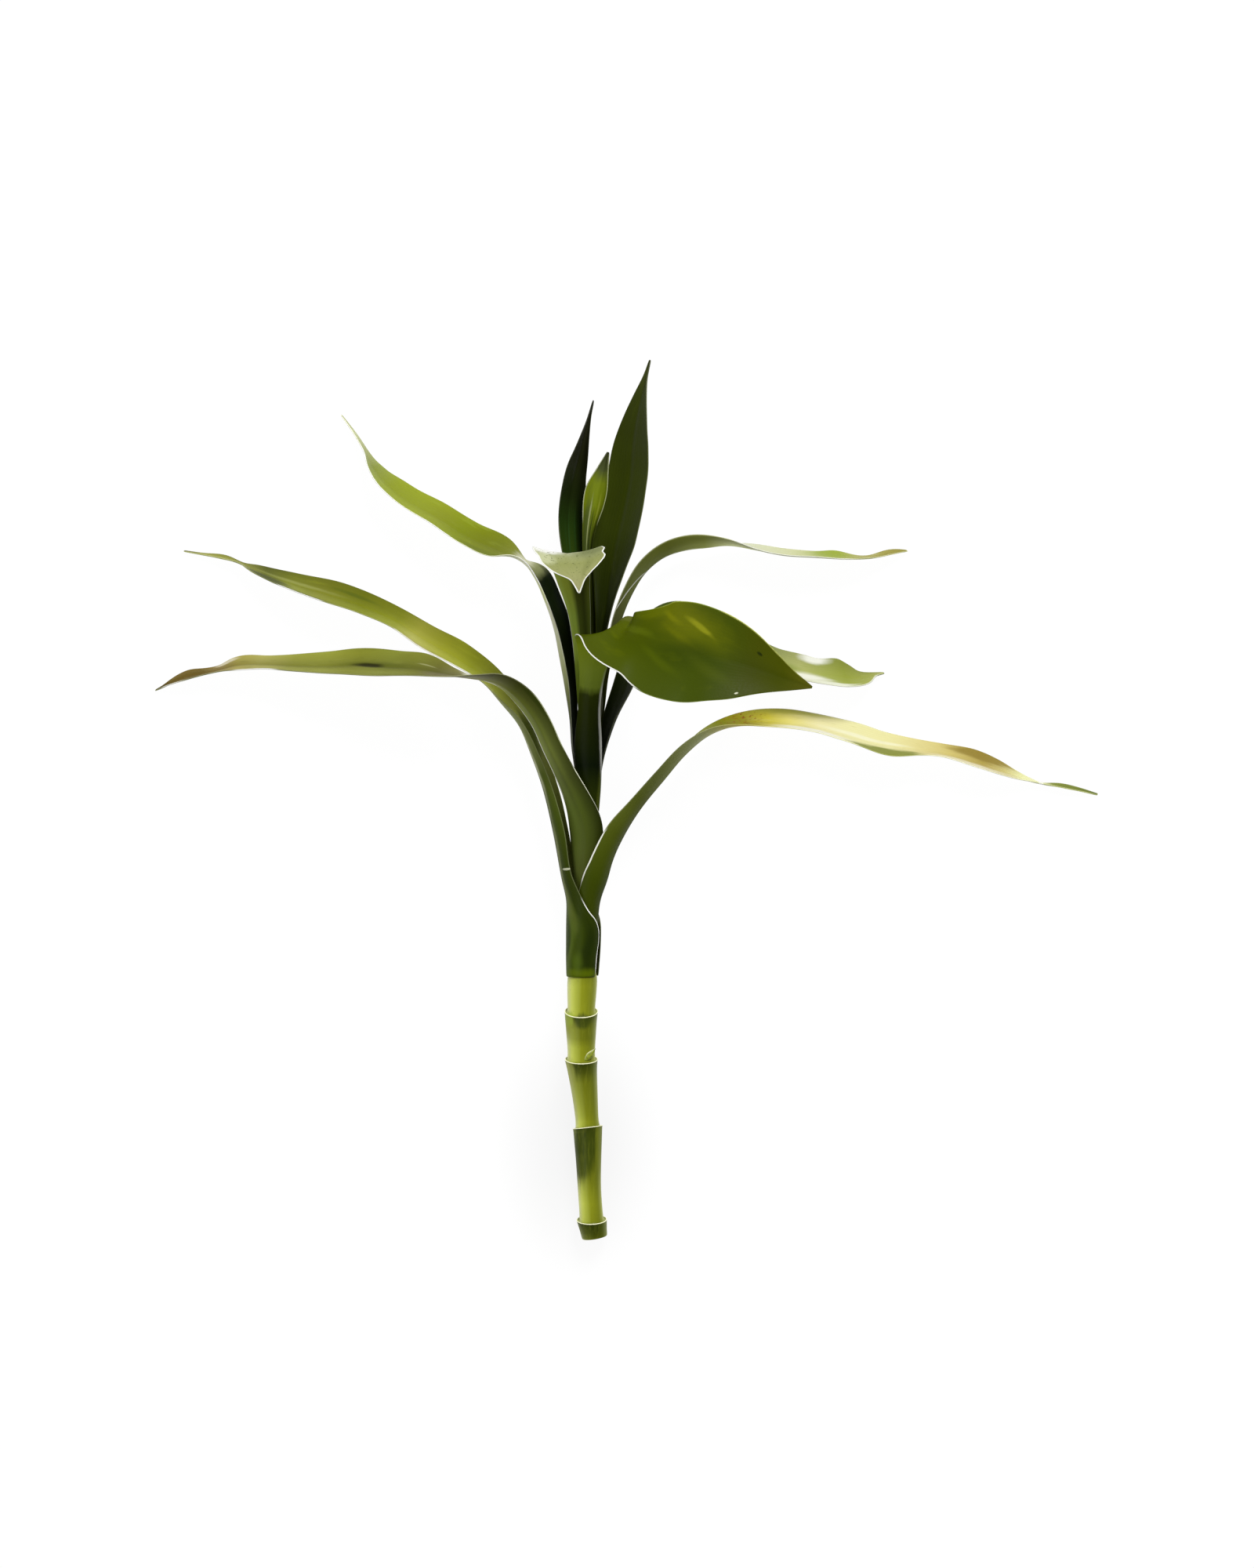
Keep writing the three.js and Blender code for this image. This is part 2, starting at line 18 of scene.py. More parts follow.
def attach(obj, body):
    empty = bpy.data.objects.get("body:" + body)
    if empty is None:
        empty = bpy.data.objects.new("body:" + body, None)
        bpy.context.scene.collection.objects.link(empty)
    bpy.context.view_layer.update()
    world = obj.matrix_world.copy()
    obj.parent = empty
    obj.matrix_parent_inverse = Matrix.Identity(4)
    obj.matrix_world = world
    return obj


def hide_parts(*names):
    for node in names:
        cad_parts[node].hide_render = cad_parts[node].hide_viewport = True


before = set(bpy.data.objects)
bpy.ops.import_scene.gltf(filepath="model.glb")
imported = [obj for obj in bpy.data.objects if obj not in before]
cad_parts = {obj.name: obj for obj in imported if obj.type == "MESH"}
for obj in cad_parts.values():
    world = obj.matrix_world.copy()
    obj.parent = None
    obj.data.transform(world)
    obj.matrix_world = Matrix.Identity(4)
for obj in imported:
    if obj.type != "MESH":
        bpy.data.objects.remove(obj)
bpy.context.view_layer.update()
MM = 0.001

# %% [markdown]
# The leaf bases wrap one straight line that rises slowly from the foot to the
# crown. A station says where the midrib is, half the width of the blade round
# its curve, how far the blade is curled and the way its upper face looks. The
# numbers are the ones of the CAD model, in millimetres and degrees, so a leaf
# here lies where its solid lies.

# %% Stations of a leaf
STEM_X = -13.7
STEM_Z = 15.95
STEM_SLANT = 0.03
STEM_RISE = 0.07
UP = Vector((0, 0, 1))


def shoot_axis(y):
    return Vector((STEM_X + STEM_SLANT * y, y, STEM_Z + STEM_RISE * y))


def station_at(place, half, cup, **way):
    return {"at": Vector(place), "half": half, "cup": math.radians(cup), **way}


def sheath(y, azimuth, radius, wrap, shift_x=0, shift_z=0):
    """Wrapped round the stem: the side it is on, its radius and how far round it goes."""
    turn = math.radians(azimuth)
    outward = Vector((math.sin(turn), 0, math.cos(turn)))
    centre = shoot_axis(y) + Vector((shift_x, 0, shift_z))
    return station_at(centre + outward * radius, radius * math.radians(wrap), wrap, face=-outward)


def blade(x, y, z, half, cup, roll):
    """Free of the stem and rolled about its own midrib."""
    return station_at((x, y, z), half, cup, roll=math.radians(roll))


def facing(x, y, z, half, cup, face):
    """Free of the stem, with its upper face turned one way."""
    return station_at((x, y, z), half, cup, face=Vector(face))


def leaf_stations(sheaths, blades=(), facings=()):
    wrapped = [sheath(*row) for row in sheaths]
    rolled = [blade(*row) for row in blades]
    return wrapped + rolled + [facing(*row) for row in facings]


print("Crown centre in mm:", [round(value, 1) for value in shoot_axis(40)])

# %% [markdown]
# Straight pieces between the stations would show as kinks. A cubic curve with
# its own slope at each station passes through all of them and keeps the bend
# even. The same curve carries the width, the curl and the direction of the
# face, so they change as smoothly as the midrib does.

# %% A smooth line through the stations


def slopes(knots, values):
    last = len(knots) - 1
    secants = [(values[i + 1] - values[i]) / (knots[i + 1] - knots[i]) for i in range(last)]
    found = [secants[0]]
    for i in range(1, last):
        before = knots[i] - knots[i - 1]
        after = knots[i + 1] - knots[i]
        found.append((secants[i - 1] * after + secants[i] * before) / (before + after))
    found.append(secants[-1])
    return found


def squared(direction, tangent):
    return (direction - tangent * direction.dot(tangent)).normalized()


def face_of(station, tangent):
    if "face" in station:
        return squared(station["face"], tangent)
    side = UP.cross(tangent).normalized()
    top = tangent.cross(side)
    return top * math.cos(station["roll"]) + side * math.sin(station["roll"])


def leaf_line(stations):
    knots = [0.0]
    for near, far in zip(stations, stations[1:]):
        knots.append(knots[-1] + (far["at"] - near["at"]).length)
    place = [[station["at"][axis] for station in stations] for axis in range(3)]
    place_slopes = [slopes(knots, values) for values in place]
    faces = []
    for i, station in enumerate(stations):
        tangent = Vector([values[i] for values in place_slopes]).normalized()
        faces.append(face_of(station, tangent))
    channels = place + [[face[axis] for face in faces] for axis in range(3)]
    channels.append([station["half"] for station in stations])
    channels.append([station["cup"] for station in stations])
    return {"knots": knots, "channels": channels, "slopes": [slopes(knots, values) for values in channels]}


def line_values(line, distance):
    knots = line["knots"]
    span = min(max(bisect.bisect_right(knots, distance) - 1, 0), len(knots) - 2)
    width = knots[span + 1] - knots[span]
    t = (distance - knots[span]) / width
    t2 = t * t
    t3 = t2 * t
    found = []
    for values, slope in zip(line["channels"], line["slopes"]):
        start = (2 * t3 - 3 * t2 + 1) * values[span] + (t3 - 2 * t2 + t) * width * slope[span]
        end = (3 * t2 - 2 * t3) * values[span + 1] + (t3 - t2) * width * slope[span + 1]
        found.append(start + end)
    return found


print("Slopes of a test line:", slopes([0, 1, 3], [0, 2, 2]))

# %% [markdown]
# Besides its stations a leaf brings a look: its colours, marks and small
# forms. Most leaves share most of it, so one plain look holds the usual values
# and a leaf names only what it has of its own. The lamps make paint look
# lighter than its code: LAMP_LIGHT says by how much, and a lower face that gets
# less light has a smaller number of its own.

# %% What a leaf is like unless its own look says otherwise
LAMP_LIGHT = 1.25
plain_look = {
    "row_length": 2.0,
    "groove": 0.35,
    "ripple": 1.0,
    "nicks": [],
    "light_upper": LAMP_LIGHT,
    "light_lower": LAMP_LIGHT,
    "sway": 4.0,
    "veins": 16.0,
    "vein_strength": 0.04,
    "blade_from": 0,
    "blotches": [],
    "strokes": [],
    "specks": [],
    "margin_strength": 0.2,
    "edges": [],
    "rough": 0.45,
    "shine": 0.08,
    "glow": 0.15,
    "glow_tint": "#a9bb12",
}
print("Rows of a leaf lie", plain_look["row_length"], "mm apart")

# %% [markdown]
# A leaf starts as a flat grid made by one bmesh operator. Each row of the grid
# is one place on the midrib, and the row is then curled round an arc. Two
# small things make it a leaf and not a ribbon: a groove along the midrib and
# margins that wave a little. The grid keeps a few numbers for the materials:
# how far across a point is, how far along, and how far from the margin.

# %% Turn a flat grid into a leaf
GROOVE_WIDTH = 0.8
SHORTEST_CUP = 0.02
CLOSED_CUP = math.radians(45)
SMALLEST_HALF = 0.3
RIPPLE_LENGTH = 26.0
TANGENT_REACH = 0.5


def leaf_rows(line, count):
    rows = []
    length = line["knots"][-1]
    for i in range(count + 1):
        distance = length * i / count
        values = line_values(line, distance)
        ahead = Vector(line_values(line, min(distance + TANGENT_REACH, length))[:3])
        behind = Vector(line_values(line, max(distance - TANGENT_REACH, 0.0))[:3])
        tangent = (ahead - behind).normalized()
        normal = squared(Vector(values[3:6]), tangent)
        row = {"at": Vector(values[:3]), "normal": normal, "side": tangent.cross(normal)}
        row["half"] = max(values[6], SMALLEST_HALF)
        row["cup"] = max(values[7], SHORTEST_CUP)
        row["distance"] = distance
        rows.append(row)
    return rows


def margin_shape(nicks, distance, across):
    """How far one margin stands out and lifts here, summed over the leaf's own nicks and curls."""
    out = 0.0
    lift = 0.0
    for place, side, outward, upward, reach in nicks:
        if side * across > 0:
            near = math.exp(-(((distance - place) / reach) ** 2))
            out += outward * near
            lift += upward * near
    return out, lift


def leaf_point(row, across, look, seed):
    out, curl = margin_shape(look["nicks"], row["distance"], across)
    arc = across * max(row["half"] + out, SMALLEST_HALF)
    radius = row["half"] / row["cup"]
    angle = arc / radius
    sideways = row["side"] * (radius * math.sin(angle))
    upwards = row["normal"] * (radius - radius * math.cos(angle))
    inward = row["normal"] * math.cos(angle) - row["side"] * math.sin(angle)
    lift = curl * abs(across) ** 3 - look["groove"] * math.exp(-((arc / GROOVE_WIDTH) ** 2))
    wave = noise.noise(Vector((row["distance"] / RIPPLE_LENGTH, math.copysign(seed, across), seed)))
    open_blade = max(0.0, 1.0 - row["cup"] / CLOSED_CUP)
    lift += look["ripple"] * wave * open_blade * across * across
    return (row["at"] + sideways + upwards + inward * lift) * MM


def to_mesh(bm, name):
    mesh = bpy.data.meshes.new(name)
    bm.to_mesh(mesh)
    bm.free()
    return mesh


def leaf_grid(name, stations, columns, look, seed):
    line = leaf_line(stations)
    count = round(line["knots"][-1] / look["row_length"])
    rows = leaf_rows(line, count)
    bm = bmesh.new()
    bm.loops.layers.uv.new("UVMap")
    bmesh.ops.create_grid(bm, x_segments=columns, y_segments=count, size=1, calc_uvs=True)
    across_layer = bm.verts.layers.float.new("across")
    along_layer = bm.verts.layers.float.new("along_mm")
    rim_layer = bm.verts.layers.float.new("rim_mm")
    for vert in bm.verts:
        across = vert.co.x
        row = rows[round((vert.co.y + 1) / 2 * count)]
        vert[across_layer] = across
        vert[along_layer] = row["distance"]
        vert[rim_layer] = row["half"] * (1 - abs(across))
        vert.co = leaf_point(row, across, look, seed)
    return to_mesh(bm, name), line["knots"][-1]


print("Midrib groove:", plain_look["groove"], "mm deep and about", 2 * GROOVE_WIDTH, "mm wide")

# %% [markdown]
# A living leaf is never one colour. The materials below share a few effects:
# parallel veins, a pale margin, long soft blotches, strokes at one place, a
# bright line along one margin and fine specks. The pale margin and the bright
# line are painted highlights, and the strokes hold painted highlights and
# painted shade as well as real marks. Each effect is a node group with named
# sockets that puts out a mask or a height. A group is built once and set
# differently in each leaf.

# %% Short words for shader nodes
LAMP_SHEEN = 0.007
DARKEST = 0.0005
LIGHTEST = 0.9


def colour(code):
    """A colour written as in a paint box, #rrggbb, made linear for the shader."""
    parts = [int(code[i : i + 2], 16) / 255 for i in (1, 3, 5)]
    linear = [part / 12.92 if part <= 0.04045 else ((part + 0.055) / 1.055) ** 2.4 for part in parts]
    return (*linear, 1.0)


def seen(code, light=LAMP_LIGHT):
    """The paint that looks like this code once the lamps and their sheen are on it."""
    return (*[min(max(part - LAMP_SHEEN, DARKEST) / light, LIGHTEST) for part in colour(code)[:3]], 1.0)


def add_node(tree, kind, sockets, **settings):
    """Add a shader node; each socket gets a plain value or a link to another node's output."""
    made = tree.nodes.new("ShaderNode" + kind)
    for label, value in settings.items():
        setattr(made, label, value)
    for label, value in sockets.items():
        if isinstance(value, bpy.types.NodeSocket):
            tree.links.new(value, made.inputs[label])
        else:
            made.inputs[label].default_value = value
    return made


def calc(tree, operation, first, second=0.0, clamp=False):
    sockets = {0: first, 1: second}
    return add_node(tree, "Math", sockets, operation=operation, use_clamp=clamp).outputs[0]


def times(tree, first, second):
    return calc(tree, "MULTIPLY", first, second)


def plus(tree, first, second):
    return calc(tree, "ADD", first, second)


def minus(tree, first, second):
    return calc(tree, "SUBTRACT", first, second)


def square(tree, value):
    return calc(tree, "POWER", calc(tree, "ABSOLUTE", value), 2.0)


def remap(tree, value, low, high, to_low=0.0, to_high=1.0):
    sockets = {"Value": value, "From Min": low, "From Max": high, "To Min": to_low, "To Max": to_high}
    return add_node(tree, "MapRange", sockets, interpolation_type="SMOOTHSTEP").outputs["Result"]


def vector_of(tree, x, y, z=0.0):
    return add_node(tree, "CombineXYZ", {0: x, 1: y, 2: z}).outputs[0]


def cloud(tree, vector, scale, detail=2.0):
    return add_node(tree, "TexNoise", {"Vector": vector, "Scale": scale, "Detail": detail}).outputs["Fac"]


def mix(tree, factor, first, second, mode="MIX"):
    sockets = {0: factor, 6: first, 7: second}
    return add_node(tree, "Mix", sockets, data_type="RGBA", blend_type=mode).outputs[2]


def stain(tree, tint, mask, strength, paint):
    """Lay a paint over the tint where the mask is, as thinly as the strength says."""
    return mix(tree, times(tree, mask, strength), tint, paint)


def attribute(tree, name):
    return add_node(tree, "Attribute", {}, attribute_name=name).outputs["Fac"]


def object_place(tree):
    return add_node(tree, "TexCoord", {}).outputs["Object"]


print("A leaf green, made linear:", [round(part, 3) for part in colour("#8da530")])

# %% [markdown]
# The veins of this leaf run side by side from the base to the tip and come
# together there. A sine over the width gives them without any drawing, and a
# little noise keeps the lines from looking ruled. The margin is a thin pale
# rim with a ragged inner side, a painted highlight, and the blotches are
# clouds drawn out along the blade.

# %% Node groups for veins, margin and blotches


def group_tree(name, outputs, **inputs):
    """A node group whose inputs are named with their usual values; three numbers make a vector."""
    tree = bpy.data.node_groups.new(name, "ShaderNodeTree")
    for label, value in inputs.items():
        kind = "Vector" if isinstance(value, tuple) else "Float"
        socket = tree.interface.new_socket(label, in_out="INPUT", socket_type="NodeSocket" + kind)
        socket.default_value = value
    for label in outputs:
        tree.interface.new_socket(label, in_out="OUTPUT", socket_type="NodeSocketFloat")
    return tree, tree.nodes.new("NodeGroupInput").outputs, tree.nodes.new("NodeGroupOutput").inputs


def place_group(tree, group, **values):
    return add_node(tree, "Group", values, node_tree=group).outputs


veins, given, gives = group_tree(
    "Parallel veins", ["Mask", "Height"], Across=0, Along=0, Count=18, Wander=0.04
)
drift = cloud(veins, vector_of(veins, times(veins, given["Along"], 0.02), given["Across"]), 2.0)
drift = times(veins, minus(veins, drift, 0.5), given["Wander"])
phase = times(veins, plus(veins, given["Across"], drift), given["Count"])
ridge = calc(veins, "SINE", times(veins, phase, math.pi))
veins.links.new(ridge, gives["Height"])
veins.links.new(remap(veins, ridge, 0.2, 1.0), gives["Mask"])

margin, given, gives = group_tree("Leaf margin", ["Mask"], Rim=0, Along=0, Width=0.4)
ragged = cloud(margin, vector_of(margin, times(margin, given["Along"], 0.12), 0.0), 1.0, 3.0)
reach = times(margin, given["Width"], plus(margin, ragged, 0.6))
inside = remap(margin, given["Rim"], times(margin, reach, 0.35), reach)
margin.links.new(minus(margin, 1.0, inside), gives["Mask"])

blotches, given, gives = group_tree(
    "Long blotches", ["Mask"], Across=0, Along=0, Fineness=1, Cover=0.5, Seed=0
)
wide = times(blotches, given["Across"], given["Fineness"])
long = times(blotches, times(blotches, given["Along"], 0.03), given["Fineness"])
patchy = cloud(blotches, vector_of(blotches, wide, long, given["Seed"]), 1.6, 4.0)
edge = minus(blotches, 0.72, times(blotches, given["Cover"], 0.4))
blotches.links.new(remap(blotches, patchy, edge, plus(blotches, edge, 0.16)), gives["Mask"])
print("Veins, margin and blotches are", len(bpy.data.node_groups), "node groups")

# %% [markdown]
# Some marks have one place: a scuff, a yellow patch, a painted highlight on a
# stretch of margin that catches the light, a painted shade. A stroke is an oval
# with a frayed rim, set by its place along the leaf and its middle across it. An
# edge line is a painted highlight that follows one margin from a start to an
# end. Specks are the peaks of a very fine noise.

# %% Node groups for strokes, edge lines and specks
stroke, given, gives = group_tree(
    "Leaf stroke", ["Mask"], Across=0, Along=0, Place=0, Middle=0, Length=10, Width=0.2, Soft=0.4, Slant=0
)
fray = vector_of(stroke, times(stroke, given["Across"], 4.0), times(stroke, given["Along"], 0.12))
fray = times(stroke, minus(stroke, cloud(stroke, fray, 1.0, 3.0), 0.5), 0.9)
ahead = minus(stroke, given["Along"], given["Place"])
lengthways = calc(stroke, "DIVIDE", ahead, given["Length"])
centred = plus(stroke, given["Middle"], times(stroke, ahead, given["Slant"]))
crossways = calc(stroke, "DIVIDE", minus(stroke, given["Across"], centred), given["Width"])
squares = plus(stroke, square(stroke, lengthways), square(stroke, crossways))
away = plus(stroke, calc(stroke, "SQRT", squares), fray)
inner = minus(stroke, 1.0, given["Soft"])
outer = plus(stroke, 1.0, given["Soft"])
stroke.links.new(minus(stroke, 1.0, remap(stroke, away, inner, outer)), gives["Mask"])

LINE_FADE = 2.0


def passed(tree, along, place):
    """Rises from 0 to 1 as the leaf passes a place, over LINE_FADE mm on either side of it."""
    return remap(tree, along, minus(tree, place, LINE_FADE), plus(tree, place, LINE_FADE))


edge_line, given, gives = group_tree(
    "Edge line", ["Mask"], Across=0, Along=0, Rim=0, Side=1, Start=0, End=10, Width=0.7
)
on_side = calc(edge_line, "GREATER_THAN", times(edge_line, given["Across"], given["Side"]), 0.0)
begun = passed(edge_line, given["Along"], given["Start"])
ended = passed(edge_line, given["Along"], given["End"])
uneven = cloud(edge_line, vector_of(edge_line, times(edge_line, given["Along"], 0.25), 0.0), 1.0, 2.0)
reach = times(edge_line, given["Width"], plus(edge_line, uneven, 0.5))
inside = remap(edge_line, given["Rim"], times(edge_line, reach, 0.6), reach)
stretch = times(edge_line, begun, minus(edge_line, 1.0, ended))
line_mask = times(edge_line, times(edge_line, on_side, stretch), minus(edge_line, 1.0, inside))
edge_line.links.new(line_mask, gives["Mask"])

specks, given, gives = group_tree("Fine specks", ["Mask"], Position=(0, 0, 0), Cover=0.3, Scale=900)
dots = cloud(specks, given["Position"], given["Scale"], 3.0)
cut = minus(specks, 0.75, times(specks, given["Cover"], 0.35))
specks.links.new(remap(specks, dots, cut, plus(specks, cut, 0.08)), gives["Mask"])
print("Node groups:", [group.name for group in bpy.data.node_groups])

# %% [markdown]
# One leaf has two faces, and they differ: the upper one is deeper in colour,
# the lower one is duller. A ramp gives the main colour from base to tip, in
# millimetres along the midrib, with painted shade where a stalk lies in
# shadow, and a second one paints shade across the blade from one margin to
# the other. Then come strokes at their own places, marks of age together with
# painted highlights and painted shade, and the pale lines of the margins,
# which are painted highlights. Last, a thin Translucent layer lets light
# through, which is what makes a leaf glow against a bright table.

# %% Colour from base to tip, and marks on it
VEIN_TINT = "#4a5218"
# The margin tint is a painted highlight along every margin.
MARGIN_TINT = "#d9dcae"
MARGIN_WIDTH = 0.3
BLADE_FADE = 6


def ramp(tree, value, stops, paint):
    """A colour ramp whose stops are given in order, in the units of the value itself."""
    low = stops[0][0]
    high = stops[-1][0]
    share = add_node(tree, "MapRange", {"Value": value, "From Min": low, "From Max": high})
    made = add_node(tree, "ValToRGB", {0: share.outputs["Result"]})
    elements = made.color_ramp.elements
    while len(elements) < len(stops):
        elements.new(0.5)
    for element, (place, code) in zip(elements, stops):
        element.position = (place - low) / (high - low)
        element.color = paint(code)
    return made.outputs["Color"]


def lay_strokes(tree, tint, strokes, across, along, paint):
    for place, middle, reach, width, softness, code, strength, *slant in strokes:
        mark = {"Place": place, "Middle": middle, "Length": reach, "Width": width, "Soft": softness}
        mask = place_group(tree, stroke, Across=across, Along=along, Slant=sum(slant), **mark)
        tint = stain(tree, tint, mask["Mask"], strength, paint(code))
    return tint


def leaf_tint(tree, look, face, across, along, vein):
    """The colour of one face of a leaf, from the ramps to the last bright line."""
    light = look["light_" + face]
    rim = attribute(tree, "rim_mm")

    def paint(code):
        return seen(code, light)

    spot = vector_of(tree, across, times(tree, along, 0.05))
    sway = times(tree, minus(tree, cloud(tree, spot, 2.0, 3.0), 0.5), look["sway"])
    # The ramp from base to tip also paints shade, darkest where a stalk lies in shadow.
    tint = ramp(tree, plus(tree, along, sway), look[face], paint)
    # The ramp across the blade is painted shade, darker where the blade turns from the light.
    if "across_" + face in look:
        tint = mix(tree, 1.0, tint, ramp(tree, across, look["across_" + face], colour), "MULTIPLY")
    tint = stain(tree, tint, vein["Mask"], look["vein_strength"], colour(VEIN_TINT))
    on_blade = remap(tree, along, look["blade_from"] - BLADE_FADE, look["blade_from"] + BLADE_FADE)
    for cover, fineness, seed, code, strength in look["blotches"]:
        patch = {"Fineness": fineness, "Cover": cover, "Seed": seed}
        mask = place_group(tree, blotches, Across=across, Along=along, **patch)
        tint = stain(tree, tint, times(tree, mask["Mask"], strength), on_blade, paint(code))
    # Strokes are marks of age, painted highlights and painted shade.
    tint = lay_strokes(tree, tint, look["strokes"], across, along, paint)
    for place, middle, reach, width, cover, code in look["specks"]:
        field = {"Place": place, "Middle": middle, "Length": reach, "Width": width}
        area = place_group(tree, stroke, Across=across, Along=along, **field)
        dot = place_group(tree, specks, Position=object_place(tree), Cover=cover)
        tint = stain(tree, tint, area["Mask"], dot["Mask"], paint(code))
    # The pale margin is a painted highlight.
    pale = place_group(tree, margin, Rim=rim, Along=along, Width=MARGIN_WIDTH)
    tint = stain(tree, tint, pale["Mask"], look["margin_strength"], paint(MARGIN_TINT))
    # Edge lines are painted highlights along one margin.
    for side, start, end, width, code, strength in look["edges"]:
        stretch = {"Side": side, "Start": start, "End": end, "Width": width}
        line = place_group(tree, edge_line, Across=across, Along=along, Rim=rim, **stretch)
        tint = stain(tree, tint, line["Mask"], strength, paint(code))
    return tint


print("Leaf faces read the attributes across, along_mm and rim_mm")

# %% Build the material of one leaf face
BUMP_STRENGTH = 0.2
LEAF_RELIEF = 0.12 * MM
VEIN_RELIEF = 0.15


def new_material(name):
    material = bpy.data.materials.new(name)
    material.use_nodes = True
    material.node_tree.nodes.clear()
    return material, material.node_tree


def skin_shader(tree, tint, rough, shine, height, relief):
    """A plain glossy skin; the height field gives it a fine relief."""
    bump = add_node(tree, "Bump", {"Strength": BUMP_STRENGTH, "Distance": relief, "Height": height})
    sockets = {"Base Color": tint, "Roughness": rough, "Specular IOR Level": shine}
    sockets["Normal"] = bump.outputs["Normal"]
    return add_node(tree, "BsdfPrincipled", sockets).outputs[0]


def leaf_face(name, look, face):
    material, tree = new_material(name)
    across = attribute(tree, "across")
    along = attribute(tree, "along_mm")
    vein = place_group(tree, veins, Across=across, Along=along, Count=look["veins"])
    tint = leaf_tint(tree, look, face, across, along, vein)
    fibres = vector_of(tree, times(tree, across, 14.0), times(tree, along, 0.4))
    grain = cloud(tree, fibres, 3.0, 4.0)
    height = plus(tree, times(tree, vein["Height"], VEIN_RELIEF), grain)
    rough = remap(tree, grain, 0.3, 0.7, look["rough"] - 0.06, look["rough"] + 0.08)
    skin = skin_shader(tree, tint, rough, look["shine"], height, LEAF_RELIEF)
    through = mix(tree, 0.3, tint, colour(look["glow_tint"]))
    glow = add_node(tree, "BsdfTranslucent", {"Color": through})
    both = add_node(tree, "MixShader", {0: look["glow"], 1: skin, 2: glow.outputs[0]})
    add_node(tree, "OutputMaterial", {"Surface": both.outputs[0]})
    return material


print("A leaf lets", plain_look["glow"], "of the light through")

# %% [markdown]
# Growing a leaf joins the two: the grid gets its thickness from a Solidify
# modifier and its softness from a Subdivision Surface. Solidify can give the
# far side its own material, so the two faces need no separate meshes. The leaf
# then rides on the plant's only body and stands for its CAD solid.

# %% Grow one leaf
LEAF_THICKNESS = 0.42
SOFTNESS = 1


def add_piece(name, mesh, *skins):
    """Put a mesh into the scene as an object at the origin, dressed in its materials."""
    piece = bpy.data.objects.new(name, mesh)
    bpy.context.scene.collection.objects.link(piece)
    for skin in skins:
        mesh.materials.append(skin)
    return piece


def soften(piece, name):
    soft = piece.modifiers.new(name, "SUBSURF")
    soft.levels = SOFTNESS
    soft.render_levels = SOFTNESS


def grow_leaf(name, node, stations, own_look, seed, columns=14):
    look = {**plain_look, **own_look}
    mesh, length = leaf_grid(name, stations, columns, look, seed)
    faces = [leaf_face(f"{name}_{face}_face", look, face) for face in ("upper", "lower")]
    piece = add_piece(name, mesh, *faces)
    mesh.shade_smooth()
    wall = piece.modifiers.new("Leaf thickness", "SOLIDIFY")
    wall.thickness = LEAF_THICKNESS * MM
    wall.offset = 0
    wall.material_offset = 1
    wall.material_offset_rim = 1
    soften(piece, "Soft leaf")
    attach(piece, "root")
    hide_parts(node)
    print(name, "is", round(length), "mm long and has", len(mesh.polygons), "faces in its grid")


# %% [markdown]
# The outermost leaf is the oldest of the crown. Its base wraps the whole top
# of the cane, where it is dark and scuffed, and its blade is painted lighter
# along the lower half, a painted light. The ramp of the lower face colours the
# base and the stalk, which show their outer side, and the ramp of the upper
# face colours the blade. The white lines along its margins are painted
# highlights.

# %% The outermost leaf on the left
left_outer = leaf_stations(
    sheaths=[
        (-63.2, -111, 5.6, 168), (-55, -111, 6.0, 168), (-45, -101, 6.1, 161), (-41, -103, 6.15, 136),
        (-36.7, -101, 6.2, 102),
    ],
    blades=[
        (-22.6, -28.3, 12.8, 8.6, 75, -80), (-25.7, -11.5, 14.4, 8.0, 74, -84),
        (-29.7, 5.3, 15, 6.3, 92, -75), (-33.7, 16.5, 14.5, 6.3, 80, -73), (-37.6, 26, 13, 6.8, 62, -70),
        (-43.2, 33.8, 10.8, 7.8, 45, -66), (-49, 41.6, 9.2, 8.8, 32, -64), (-59.8, 49.7, 8.7, 9.8, 24, -62),
        (-71.2, 56.2, 8.7, 9.8, 22, -62), (-82.4, 63.3, 8.6, 9, 22, -64), (-94, 68.3, 8.6, 9.4, 22, -62),
        (-105.2, 72.2, 8.4, 9.4, 22, -61), (-116.8, 75.8, 7, 8, 22, -63), (-128, 79.8, 5, 5.6, 20, -64),
        (-134.4, 82.6, 3.8, 3.6, 16, -68), (-138, 84.4, 3, 2.4, 12, -84), (-143.5, 86.2, 2.4, 2, 14, -66),
        (-150.9, 87.6, 1.7, 0.8, 12, -60), (-158.5, 89, 1.2, 0.35, 8, -60),
    ],
)
